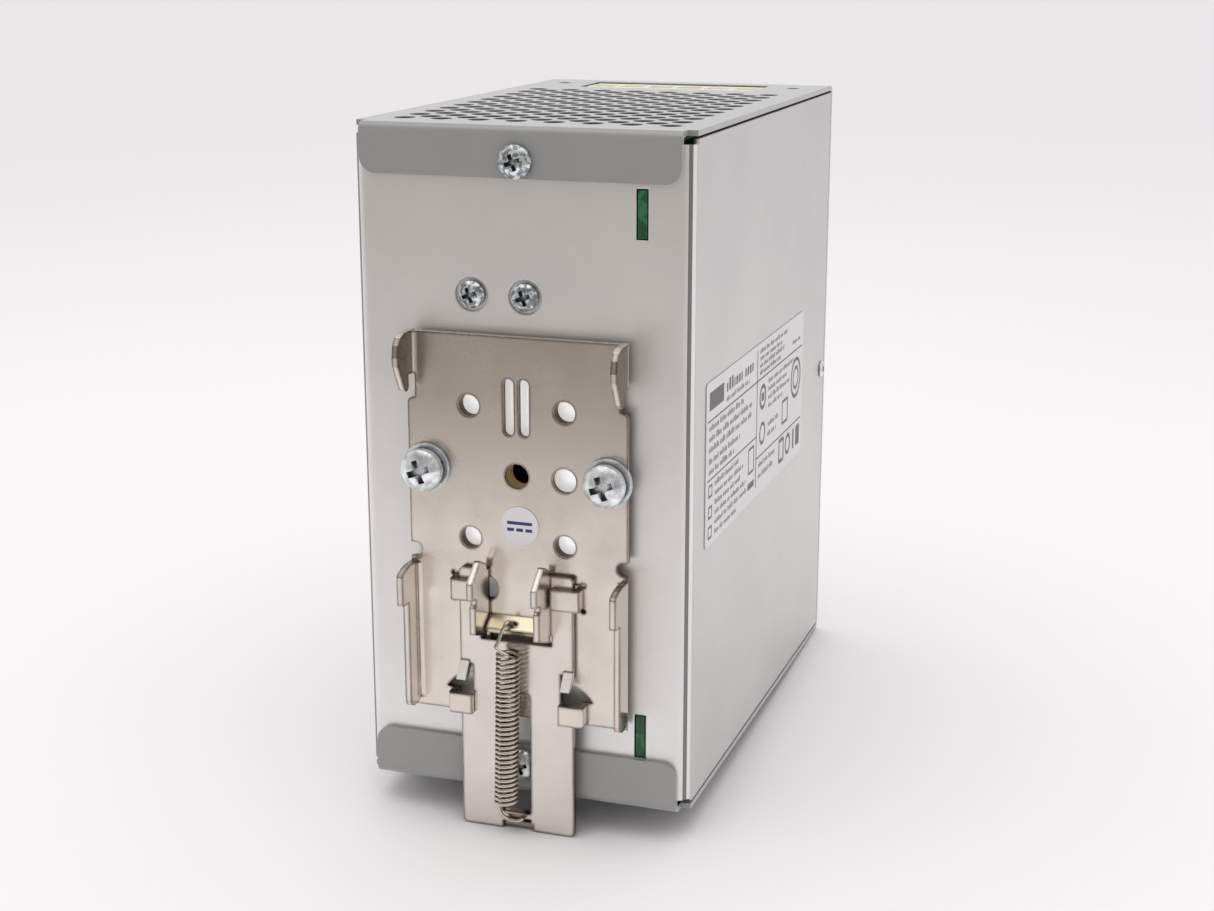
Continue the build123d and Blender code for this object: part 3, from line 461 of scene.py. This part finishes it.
def film(name, base, rough=(0.38, 0.5)):
    """Printed film or paper: nearly flat, with a fine tooth and a soft edge shade."""
    s = Shader(name)
    tooth = s.noise(0.3, detail=3)
    tone = s.blend(s.span(s.noise(12), 0.3, 0.7), scaled(base, 0.985), scaled(base, 1.015))
    tone = s.tint(tone, s.edge_mask(0.12), 0.4, scaled(base, 0.75))
    low, high = rough
    s.surface_inputs(base_color=tone, roughness=s.span(tooth, 0.3, 0.7, low, high))
    s.relief(tooth, 0.1, 0.01)
    return s.material


def ink(name, base):
    """Thin print whose density varies slightly."""
    s = Shader(name)
    density = s.noise(0.25, detail=3)
    tone = s.blend(s.span(density, 0.3, 0.75), base, scaled(base, 1.9))
    s.surface_inputs(
        base_color=tone, roughness=s.span(density, 0.3, 0.7, 0.55, 0.7), specular_ior_level=0.25,
    )
    return s.material


def can_sleeve():
    """Dark shrink sleeve with a paler stripe down one side."""
    s = Shader("can_sleeve")
    stripe = s.span(s.noise(9, stretch=(0.02, 1, 1), detail=0), 0.60, 0.62)
    tone = s.blend(stripe, (0.022, 0.026, 0.045), (0.30, 0.31, 0.33))
    s.surface_inputs(base_color=tone, roughness=s.span(s.noise(1.5), 0.3, 0.7, 0.2, 0.34))
    s.relief(s.noise(4.0, detail=2), 0.15, 0.1)
    return s.material


def copper_winding():
    """Enamelled wire laid turn by turn."""
    s = Shader("copper_winding")
    turns = s.bands(0.9, axis="DIAGONAL", distortion=1.5)
    tone = s.blend(turns, (0.20, 0.07, 0.03), (0.58, 0.26, 0.11))
    s.surface_inputs(base_color=tone, metallic=0.6, roughness=s.span(s.noise(1.0), 0.3, 0.7, 0.22, 0.36))
    s.relief(turns, 0.8, 0.3)
    return s.material


def winding_tape():
    """Wrapped polyester tape with overlapping turns."""
    s = Shader("winding_tape")
    laps = s.bands(5.0, axis="X", distortion=0.4)
    tone = s.blend(s.span(laps, 0.1, 0.4), (0.42, 0.24, 0.02), (0.62, 0.40, 0.04))
    s.surface_inputs(base_color=tone, roughness=s.span(s.noise(2.0), 0.3, 0.7, 0.15, 0.3))
    s.relief(laps, 0.5, 0.1)
    return s.material


def ferrite():
    """Dark sintered cores with a fine grain."""
    s = Shader("ferrite")
    grains = s.noise(0.2, detail=5, roughness=0.7)
    tone = s.blend(s.span(grains, 0.3, 0.7), (0.035, 0.035, 0.038), (0.075, 0.075, 0.08))
    s.surface_inputs(base_color=tone, roughness=s.span(grains, 0.3, 0.7, 0.45, 0.65))
    s.relief(grains, 0.3, 0.03)
    return s.material


def clear_pipe():
    """Water-clear moulding of the light pipes, a little milky."""
    s = Shader("light_pipe_clear")
    haze = s.noise(0.8, detail=3)
    tone = s.blend(s.span(haze, 0.3, 0.7), (0.55, 0.80, 0.50), (0.40, 0.68, 0.36))
    s.surface_inputs(
        base_color=tone, roughness=s.span(haze, 0.3, 0.7, 0.08, 0.2), transmission_weight=0.55, ior=1.49,
    )
    s.relief(haze, 0.1, 0.02)
    return s.material


def build_materials():
    """Every material slot of the record and the inks, by name."""
    made = [
        bare_panel(), grey_paint(), bright_zinc(), terminal_steel(), contact_tin(), sink_aluminium(),
        board_green(), can_sleeve(), copper_winding(), winding_tape(), ferrite(), clear_pipe(),
        nickel("clip_nickel", (0.765, 0.705, 0.645), (0.085, 0.05, 0.03), PLATE_Y, rough=(0.20, 0.30)),
        nickel("latch_nickel", (0.76, 0.705, 0.65), (0.09, 0.055, 0.035), SLIDER_Y, rough=(0.18, 0.28)),
        spring_nickel(),
        moulded("black_plastic", (0.018, 0.018, 0.02)),
        moulded("insulation_film", (0.02, 0.02, 0.022), texture_mm=0.6, rough=(0.2, 0.3)),
        moulded("terminal_cream", (0.84, 0.80, 0.66), texture_mm=0.18, edge_tone=1.12),
        moulded("film_cap_yellow", (0.60, 0.46, 0.06), rough=(0.3, 0.42), edge_tone=1.2),
        moulded("knob_plastic", (0.74, 0.74, 0.68), edge_tone=1.1),
        moulded("selector_red", (0.46, 0.028, 0.022), edge_tone=1.4),
        moulded("light_body", (0.35, 0.60, 0.28), rough=(0.25, 0.35)),
        film("label_film", (0.66, 0.645, 0.645)),
        film("overlay_film", (0.60, 0.60, 0.59), rough=(0.5, 0.62)),
        film("sticker_paper", (0.66, 0.63, 0.65), rough=(0.45, 0.6)),
        ink("print_blue", (0.03, 0.04, 0.12)),
        ink("print_grey", (0.12, 0.115, 0.115)),
    ]
    return {material.name: material for material in made}


def dress_nodes():
    """Give each CAD node the material of its slot in the record."""
    slot_of = {part["node"]: part["material_slot"] for part in frame["record"]["subparts"]}
    for name, thing in nodes.items():
        thing.data.materials.clear()
        thing.data.materials.append(materials[slot_of[name]])
        for polygon in thing.data.polygons:
            polygon.use_smooth = False


materials = build_materials()
dress_nodes()


# ---------------------------------------------------------------- mesh helpers


SPLINE_STEPS = 6


def new_piece(name, mesh_data, body, material):
    """Link a bmesh as a piece that rides on a body, or on none where body is None."""
    mesh = bpy.data.meshes.new(name)
    mesh_data.to_mesh(mesh)
    mesh_data.free()
    thing = bpy.data.objects.new(name, mesh)
    mesh.materials.append(materials[material])
    bpy.context.scene.collection.objects.link(thing)
    if body:
        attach(thing, body)
    return thing


def tube(bm, path, radius, sides):
    """Sweep a round section along a list of points, with rotation-minimising frames and closed ends."""
    rings = []
    tangents = [
        (path[min(i + 1, len(path) - 1)] - path[max(i - 1, 0)]).normalized() for i in range(len(path))
    ]
    normal = tangents[0].orthogonal().normalized()
    for point, tangent in zip(path, tangents):
        normal = (normal - tangent * normal.dot(tangent)).normalized()
        side = tangent.cross(normal)
        ring = [
            bm.verts.new(point + (normal * math.cos(a) + side * math.sin(a)) * radius)
            for a in (2 * math.pi * k / sides for k in range(sides))
        ]
        rings.append(ring)
    for ring, after in zip(rings, rings[1:]):
        for k in range(sides):
            face = bm.faces.new((ring[k], ring[(k + 1) % sides], after[(k + 1) % sides], after[k]))
            face.smooth = True
    bm.faces.new(list(reversed(rings[0])))
    bm.faces.new(rings[-1])


def spline(points):
    """Smooth curve through points (Catmull-Rom), as a list with SPLINE_STEPS points per segment."""
    padded = [points[0] * 2 - points[1], *points, points[-1] * 2 - points[-2]]
    path = []
    for a, b, c, d in zip(padded, padded[1:], padded[2:], padded[3:]):
        for k in range(SPLINE_STEPS):
            t = k / SPLINE_STEPS
            path.append(
                0.5 * (2 * b + (c - a) * t + (2 * a - 5 * b + 4 * c - d) * t ** 2
                       + (3 * b - a - 3 * c + d) * t ** 3)
            )
    path.append(points[-1])
    return path


def slab(bm, corners, normal, thickness):
    """Thin closed plate from a flat outline."""
    lower = [bm.verts.new(c) for c in corners]
    upper = [bm.verts.new(c + normal * thickness) for c in corners]
    bm.faces.new(upper)
    bm.faces.new(list(reversed(lower)))
    count = len(corners)
    for k in range(count):
        bm.faces.new((lower[k], lower[(k + 1) % count], upper[(k + 1) % count], upper[k]))


# ---------------------------------------------------------------- latch spring


def latch_spring():
    """Close-wound extension spring: one hook in the tongue's slot, the other under the slider's tab."""
    def at(*millimetres):
        return Vector(millimetres) * MM

    wire_radius = 0.335 * MM
    coil_radius = 1.925 * MM
    axis_x, axis_y = 1.0 * MM, 3.8 * MM
    bottom_z, top_z = -61.5 * MM, -32.2 * MM
    lean = 0.35 * MM  # the coil's ends stand this far off its axis, to either side
    turns, per_turn = 31.35, 28
    coil = []
    for k in range(int(turns * per_turn) + 1):
        share = k / (turns * per_turn)
        angle = 2 * math.pi * k / per_turn
        coil.append(Vector((
            axis_x + lean * (1 - 2 * share) + coil_radius * math.cos(angle),
            axis_y + coil_radius * math.sin(angle),
            bottom_z + (top_z - bottom_z) * share,
        )))
    lower_hook = [
        at(-1.3, 2.0, -65.2), at(-0.5, 2.0, -65.8), at(0.6, 1.95, -66.0), at(1.9, 2.1, -65.7),
        at(2.75, 2.8, -64.6), at(3.05, 3.4, -63.0),
    ]
    upper_hook = [
        at(2.45, 5.0, -31.1), at(2.3, 4.5, -30.2), at(1.95, 3.8, -28.7), at(1.4, 3.2, -27.3),
        at(0.9, 2.4, -26.8), at(0.75, 1.7, -27.6), at(0.7, 1.2, -28.5),
    ]
    # each hook's curve also runs through the coil's first or last two points, which are then dropped
    overlap = SPLINE_STEPS + 1
    lower = spline(lower_hook + coil[:2])[:-overlap]
    upper = spline(coil[-2:] + upper_hook)[overlap:]
    bm = bmesh.new()
    tube(bm, lower + coil + upper, wire_radius, sides=12)
    thing = new_piece("latch_spring_wire", bm, None, "spring_nickel")
    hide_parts("latch_spring")
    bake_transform(thing)


latch_spring()


# ---------------------------------------------------------------- wiring windows


GUIDE_BACK_Y, GUIDE_FRONT_Y = -88.9, -101.4
POCKET_BACK_Y, POCKET_FRONT_Y = -93.6, -98.6
GUIDE_RECESS = 0.3  # from the outside of the cover
GUIDE_GAP = 0.1  # beside the housing's ends
RIB_HALF_WIDTH = 0.45


def entry_guide(name, node, screws, side):
    """Raised grid on a terminal housing that fills its wiring window, with one pocket over each wire hole."""
    low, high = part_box(node)
    half_x = (high.x - low.x) / 2 - GUIDE_GAP * MM
    base_z = high.z if side > 0 else low.z
    face_z = (CASE_HIGH.z if side > 0 else CASE_LOW.z) * MM - side * GUIDE_RECESS * MM
    rib = RIB_HALF_WIDTH * MM
    centres = sorted((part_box(screw)[0].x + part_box(screw)[1].x) / 2 for screw in screws)
    pitch = centres[1] - centres[0]
    bm = bmesh.new()

    def block(x_low, x_high, y_low, y_high):
        outline = ((x_low, y_low), (x_high, y_low), (x_high, y_high), (x_low, y_high))
        corners = [Vector((x, y, min(base_z, face_z))) for x, y in outline]
        slab(bm, corners, Vector((0, 0, 1)), abs(face_z - base_z))

    block(-half_x, half_x, POCKET_BACK_Y * MM, GUIDE_BACK_Y * MM)
    block(-half_x, half_x, GUIDE_FRONT_Y * MM, POCKET_FRONT_Y * MM)
    ribs = [centres[0] - pitch / 2 + rib]
    ribs += [x + pitch / 2 for x in centres[:-1]]
    ribs.append(centres[-1] + pitch / 2 - rib)
    for x in ribs:
        block(x - rib, x + rib, POCKET_FRONT_Y * MM, POCKET_BACK_Y * MM)
    new_piece(name, bm, "case", "terminal_cream")


for side, row in ((1, "output"), (-1, "input")):
    row_screws = [node for node in nodes if node.startswith(f"{row}_terminal_screw")]
    entry_guide(f"{row}_entry_guide", f"{row}_terminal_housing", row_screws, side)


# ---------------------------------------------------------------- prints

PRINT_THICKNESS = 0.012  # millimetres


class Print:
    """Flat marks on one face: u runs to the right and v down, in millimetres from an origin on the face."""

    def __init__(self, origin, right, down):
        self.origin, self.right, self.down = Vector(origin), Vector(right), Vector(down)
        self.out = self.down.cross(self.right).normalized()
        self.bm = bmesh.new()

    def point(self, u, v):
        return self.origin + (self.right * u + self.down * v) * MM

    def area(self, *corners):
        """Filled convex outline, listed clockwise as seen."""
        outline = [self.point(u, v) for u, v in reversed(corners)]
        slab(self.bm, outline, self.out, PRINT_THICKNESS * MM)

    def bar(self, u, v, width, height):
        """Upright rectangle, from its upper left corner."""
        self.area((u, v), (u + width, v), (u + width, v + height), (u, v + height))

    def stroke(self, a, b, thickness):
        """Straight line between two points."""
        (ua, va), (ub, vb) = a, b
        length = math.hypot(ub - ua, vb - va)
        du, dv = -(vb - va) / length * thickness / 2, (ub - ua) / length * thickness / 2
        self.area((ua - du, va - dv), (ub - du, vb - dv), (ub + du, vb + dv), (ua + du, va + dv))

    def ring(self, u, v, radius, thickness, start=0, end=360, steps=24):
        """Arc of a circle, in degrees clockwise from the top."""
        points = []
        for k in range(steps + 1):
            angle = math.radians(start + (end - start) * k / steps)
            points.append((u + radius * math.sin(angle), v - radius * math.cos(angle)))
        for a, b in zip(points, points[1:]):
            self.stroke(a, b, thickness)

    def box(self, u, v, width, height, thickness):
        """Outline of a rectangle, from its upper left corner."""
        corners = ((u, v), (u + width, v), (u + width, v + height), (u, v + height))
        for a, b in zip(corners, corners[1:] + corners[:1]):
            self.stroke(a, b, thickness)

    def line(self, u, v, width, height, rng):
        """One plain row of short bars, in groups, that stands for a line of text."""
        bar_gap, group_gap = 0.28 * height, 0.6 * height
        end = u + width
        while u < end:
            for _ in range(rng.randint(3, 8)):
                wide = rng.uniform(0.32, 0.6) * height
                tall = height * rng.choice((0.7, 0.7, 1.0))
                if u + wide > end:
                    break
                self.bar(u, v + height - tall, wide, tall)
                u += wide + bar_gap
            u += group_gap

    def done(self, name, ink_name):
        """Make the marks a piece in this ink that rides on the case."""
        new_piece(name, self.bm, "case", ink_name)


def label_print():
    """Two ruled columns of plain bars, boxes and rings."""
    low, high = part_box("rating_label")
    marks = Print((low.x, high.y, high.z), (0, -1, 0), (0, 0, -1))
    rng = random.Random(5)
    width = (high.y - low.y) / MM
    height = (high.z - low.z) / MM
    margin, rule = 1.0, 0.32
    rear_u, middle_u, front_u, indent_u = 2.0, 36.0, 38.0, 45.0
    marks.bar(margin, 7.1, width - 2 * margin, rule)
    marks.bar(margin, 18.1, middle_u - margin, rule)
    marks.bar(middle_u, 22.7, width - middle_u - margin, rule)
    marks.bar(middle_u - 0.25, 0.9, 0.5, height - 3.0)
    # rear column: heading, five rows, then six rows with three boxes in front of them
    marks.bar(rear_u, 2.0, 9.5, 3.4)
    marks.line(13.5, 2.0, 20.0, 2.3, rng)
    marks.line(13.5, 5.1, 17.0, 1.0, rng)
    for v, wide in ((8.0, 24), (10.0, 31), (12.0, 30), (14.2, 22), (16.1, 18)):
        marks.line(rear_u, v, wide, 1.15, rng)
    for v in (19.4, 23.4, 27.2):
        marks.box(rear_u, v, 2.2, 2.0, 0.45)
    for k, wide in enumerate((17, 20, 18, 22, 23, 15)):
        marks.line(6.2, 19.1 + 1.85 * k, wide, 1.0, rng)
    marks.box(30.2, 19.6, 4.0, 4.8, 0.5)
    marks.bar(29.8, 26.4, 4.8, 1.3)
    # front column: short rows between plain rings and boxes
    for k, wide in enumerate((22, 18, 20, 17)):
        marks.line(front_u, 1.1 + 1.45 * k, wide, 0.95, rng)
    marks.line(65.0, 4.8, 7.0, 0.8, rng)
    marks.ring(40.6, 11.2, 2.2, 0.8)
    marks.bar(39.6, 10.4, 2.0, 1.6)
    for k, wide in enumerate((22, 16, 18, 12)):
        marks.line(indent_u, 8.4 + 1.7 * k, wide, 0.95, rng)
    marks.ring(68.4, 13.2, 4.0, 0.8)
    marks.ring(68.4, 13.2, 2.2, 0.7)
    marks.box(57.0, 16.0, 4.6, 4.6, 0.6)
    marks.ring(40.6, 18.6, 2.0, 0.7)
    for k, wide in enumerate((9, 7)):
        marks.line(indent_u, 17.2 + 2.0 * k, wide, 1.1, rng)
    for k, wide in enumerate((14, 12)):
        marks.line(front_u, 24.0 + 2.2 * k, wide, 1.1, rng)
    marks.box(55.0, 23.9, 3.6, 4.4, 0.8)
    marks.ring(62.4, 26.1, 1.9, 0.8)
    marks.bar(66.6, 24.0, 1.2, 4.3)
    marks.bar(69.4, 24.0, 3.2, 4.3)
    marks.done("label_print", "print_grey")


def sticker_print():
    """Generic direct-current symbol: a line over three dashes."""
    low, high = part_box("polarity_sticker")
    marks = Print(((low.x + high.x) / 2, high.y, (low.z + high.z) / 2), (-1, 0, 0), (0, 0, -1))
    width, thickness = 4.8, 0.6
    marks.bar(-width / 2, -0.85, width, thickness)
    for k in range(3):
        marks.bar(-width / 2 + 1.75 * k, 0.4, 1.3, thickness)
    marks.done("sticker_print", "print_blue")


def overlay_print():
    """Front marks: terminal polarity, a scale round the adjuster, bars by the lights, a converter symbol."""
    low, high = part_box("front_overlay")
    marks = Print((low.x, low.y, high.z), (1, 0, 0), (0, 0, -1))
    width = (high.x - low.x) / MM
    left, top = low.x / MM, high.z / MM
    rng = random.Random(9)
    rule, caption = 0.25, 1.4

    def place(node):
        lowest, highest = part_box(node)
        return (lowest.x + highest.x) / 2 / MM - left, top - (lowest.z + highest.z) / 2 / MM

    # plus and minus below the output terminals, over a divider
    marks.bar(0, 6.0, width, rule)
    for k in range(6):
        u = place(f"output_terminal_screw_{k + 1}")[0]
        marks.bar(u - 1.1, 3.4, 2.2, 0.5)
        if k < 3:
            marks.bar(u - 0.25, 2.55, 0.5, 2.2)
    adjuster_scale(marks, *place("adjuster_knob"))
    u, v = place("light_pipes")
    marks.line(u + 3.2, v - 3.7, 6.5, caption, rng)
    marks.line(u + 3.2, v + 2.3, 7.5, caption, rng)
    converter_symbol(marks, 7, 34, 12)
    for k, wide in enumerate((16, 20, 18, 14)):
        marks.line(24, 35 + 2.8 * k, wide, 1.2, rng)
    # frame and captions of the input selector, over another divider
    u, v = place("selector_body")
    marks.box(u - 5.2, v - 8.4, 10.4, 16.8, rule)
    marks.line(u - 16, v - 3.5, 8, caption, rng)
    marks.line(u - 16, v + 2.5, 8, caption, rng)
    marks.bar(0, v + 10.4, width, rule)
    marks.done("overlay_print", "print_grey")


def adjuster_scale(marks, u, v):
    """Open ring with eleven ticks, the first, middle and last of them longer."""
    radius, sweep, ticks = 3.5, 270, 11
    marks.ring(u, v, radius, 0.25, start=-sweep / 2, end=sweep / 2, steps=30)
    for k in range(ticks):
        angle = math.radians(-sweep / 2 + sweep / (ticks - 1) * k)
        reach = 4.8 if k % 5 == 0 else 4.3
        marks.stroke(
            (u + radius * math.sin(angle), v - radius * math.cos(angle)),
            (u + reach * math.sin(angle), v - reach * math.cos(angle)), 0.3,
        )


def converter_symbol(marks, u, v, size):
    """Generic square with a diagonal, a wave in one half and two dashes in the other."""
    marks.box(u, v, size, size, 0.4)
    marks.stroke((u, v + size), (u + size, v), 0.4)
    marks.ring(u + 2.6, v + 3.5, 1.0, 0.35, start=-90, end=90, steps=10)
    marks.ring(u + 4.6, v + 3.5, 1.0, 0.35, start=90, end=270, steps=10)
    for drop in (8.0, 9.2):
        marks.bar(u + 6.2, v + drop, 4.2, 0.35)


label_print()
sticker_print()
overlay_print()


# ---------------------------------------------------------------- stage, light and camera

FLOOR_TONE = (0.91, 0.895, 0.90)
FLOOR_SHADE_TONE = (0.30, 0.29, 0.29)
FLOOR_MIRRORED_TONE = (0.27, 0.235, 0.21)
BACKDROP_TONE = (0.82, 0.80, 0.815)
OPEN_SIDE_TONE = (0.27, 0.235, 0.205)
LIT_SIDE_TONE = (0.76, 0.755, 0.755)
CEILING_TONE = (1.5, 1.48, 1.44)
SKY_TONE = (0.94, 0.93, 0.935)
FLOOR_RADIUS = 2.2
FLOOR_DROP = 0.0001  # below the slider's foot, so that the two never coincide
FADE_FROM, FADE_TO = 0.22, 0.9  # distances from the object over which the floor fades out
OPEN_SIDE_FROM, OPEN_SIDE_TO = 0.25, 0.35  # where the mirrored floor darkens, along Y


def stage():
    """Pale floor that touches the front bottom edge and the slider's foot, fading into the backdrop."""
    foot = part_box("latch_slider")[0]
    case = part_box("cover")[0]
    tilt = math.atan2(case.z - foot.z, -case.y)
    bm = bmesh.new()
    bmesh.ops.create_circle(bm, cap_ends=True, segments=96, radius=FLOOR_RADIUS)
    mesh = bpy.data.meshes.new("floor")
    bm.to_mesh(mesh)
    bm.free()
    floor = bpy.data.objects.new("floor", mesh)
    floor.matrix_world = Matrix.Translation((0, 0, foot.z - FLOOR_DROP)) @ Matrix.Rotation(-tilt, 4, "X")
    bpy.context.scene.collection.objects.link(floor)
    mesh.materials.append(floor_paper())


def floor_paper():
    """Matt paper, shaded close to the object; far away it fades out, so that it has no visible rim."""
    s = Shader("floor_paper")
    tooth = s.noise(3, detail=3)
    tone = s.blend(s.span(s.noise(240, detail=2), 0.3, 0.7), scaled(FLOOR_TONE, 0.985), FLOOR_TONE)
    # seen in a reflection, the floor darkens towards the open side of the studio
    open_side = s.span(s.axis("Y"), OPEN_SIDE_FROM, OPEN_SIDE_TO)
    mirrored = s.math("MULTIPLY", ray_kind(s.tree, "Glossy"), open_side)
    tone = s.blend(mirrored, tone, FLOOR_MIRRORED_TONE)
    tone = s.blend(s.span(s.crevice(16), 0.35, 0.8, 0.0, 0.6), tone, FLOOR_SHADE_TONE)
    s.surface_inputs(
        base_color=tone, roughness=s.span(tooth, 0.3, 0.7, 0.75, 0.9), specular_ior_level=0.2,
    )
    s.relief(tooth, 0.05, 0.05)
    distance = s.tree.nodes.new("ShaderNodeVectorMath")
    distance.operation = "LENGTH"
    s.put(distance.inputs[0], s.coords)
    clear = s.tree.nodes.new("ShaderNodeBsdfTransparent")
    mixed = s.tree.nodes.new("ShaderNodeMixShader")
    factor, near, far = mixed.inputs
    s.put(factor, s.span(distance.outputs["Value"], FADE_FROM, FADE_TO))
    s.put(near, s.surface.outputs[0])
    s.put(far, clear.outputs[0])
    s.put(s.output.inputs["Surface"], mixed.outputs[0])
    return s.material


def surroundings():
    """Even white studio light; in reflections the ceiling is bright and the side behind the camera dark."""
    world = bpy.data.worlds.new("studio")
    world.use_nodes = True
    bpy.context.scene.world = world
    tree = world.node_tree
    tree.nodes.clear()

    def spread(axis, low, high, to_low, to_high):
        """Smooth change along an axis of the ray's direction."""
        node = tree.nodes.new("ShaderNodeMapRange")
        node.interpolation_type = "SMOOTHSTEP"
        for label, number in zip(MAP_RANGE_INPUTS, (low, high, to_low, to_high)):
            node.inputs[label].default_value = number
        tree.links.new(split.outputs[axis], node.inputs["Value"])
        return node.outputs["Result"]

    def light_of(tone):
        node = tree.nodes.new("ShaderNodeBackground")
        node.inputs["Color"].default_value = (*tone, 1)
        return node.outputs[0]

    def choose(factor, a, b):
        node = tree.nodes.new("ShaderNodeMixShader")
        for socket, source in zip(node.inputs, (factor, a, b)):
            tree.links.new(source, socket)
        return node.outputs[0]

    split = tree.nodes.new("ShaderNodeSeparateXYZ")
    tree.links.new(tree.nodes.new("ShaderNodeTexCoord").outputs["Generated"], split.inputs[0])
    lit = tree.nodes.new("ShaderNodeMath")
    lit.operation = "MULTIPLY"
    tree.links.new(spread("Y", -0.2, 0.75, 1.0, 0.0), lit.inputs[0])
    tree.links.new(spread("Z", 0.35, 0.85, 1.0, 0.25), lit.inputs[1])
    around = choose(lit.outputs[0], light_of(OPEN_SIDE_TONE), light_of(LIT_SIDE_TONE))
    mirrored = choose(spread("Z", 0.72, 0.92, 0.0, 1.0), around, light_of(CEILING_TONE))
    indirect = choose(ray_kind(tree, "Glossy"), light_of(SKY_TONE), mirrored)
    seen = choose(ray_kind(tree, "Camera"), indirect, light_of(BACKDROP_TONE))
    output = tree.nodes.new("ShaderNodeOutputWorld")
    tree.links.new(seen, output.inputs["Surface"])


def softbox(name, place, target, size, power):
    """Square area light aimed at a point, unseen in reflections."""
    light = bpy.data.lights.new(name, "AREA")
    light.shape = "SQUARE"
    light.size = size
    light.energy = power
    lamp = bpy.data.objects.new(name, light)
    lamp.location = place
    lamp.rotation_mode = "QUATERNION"
    lamp.rotation_quaternion = (Vector(target) - Vector(place)).to_track_quat("-Z", "Y")
    lamp.visible_glossy = False
    bpy.context.scene.collection.objects.link(lamp)


def camera():
    """The view from behind the rail side, a little above and towards the label side."""
    azimuth, elevation = math.radians(198.70), math.radians(14.93)
    towards_camera = Vector((
        math.sin(azimuth) * math.cos(elevation),
        -math.cos(azimuth) * math.cos(elevation),
        math.sin(elevation),
    ))
    data = bpy.data.cameras.new("camera")
    data.sensor_width = 36.0
    data.lens = 58.63
    data.clip_start, data.clip_end = 0.01, 20
    thing = bpy.data.objects.new("camera", data)
    thing.location = (-0.1242, 0.3167, 0.0945)
    thing.rotation_mode = "QUATERNION"
    thing.rotation_quaternion = (-towards_camera).to_track_quat("-Z", "Y")
    bpy.context.scene.collection.objects.link(thing)
    bpy.context.scene.camera = thing


stage()
surroundings()
middle = (0, -0.05, 0)
softbox("top_light", (0.05, -0.02, 0.75), middle, size=0.9, power=1.3)
softbox("left_light", (0.75, 0.25, 0.35), middle, size=0.5, power=0.22)
softbox("right_light", (-0.75, 0.10, 0.35), middle, size=0.5, power=0.2)
camera()
bpy.context.scene.view_settings.view_transform = "Standard"
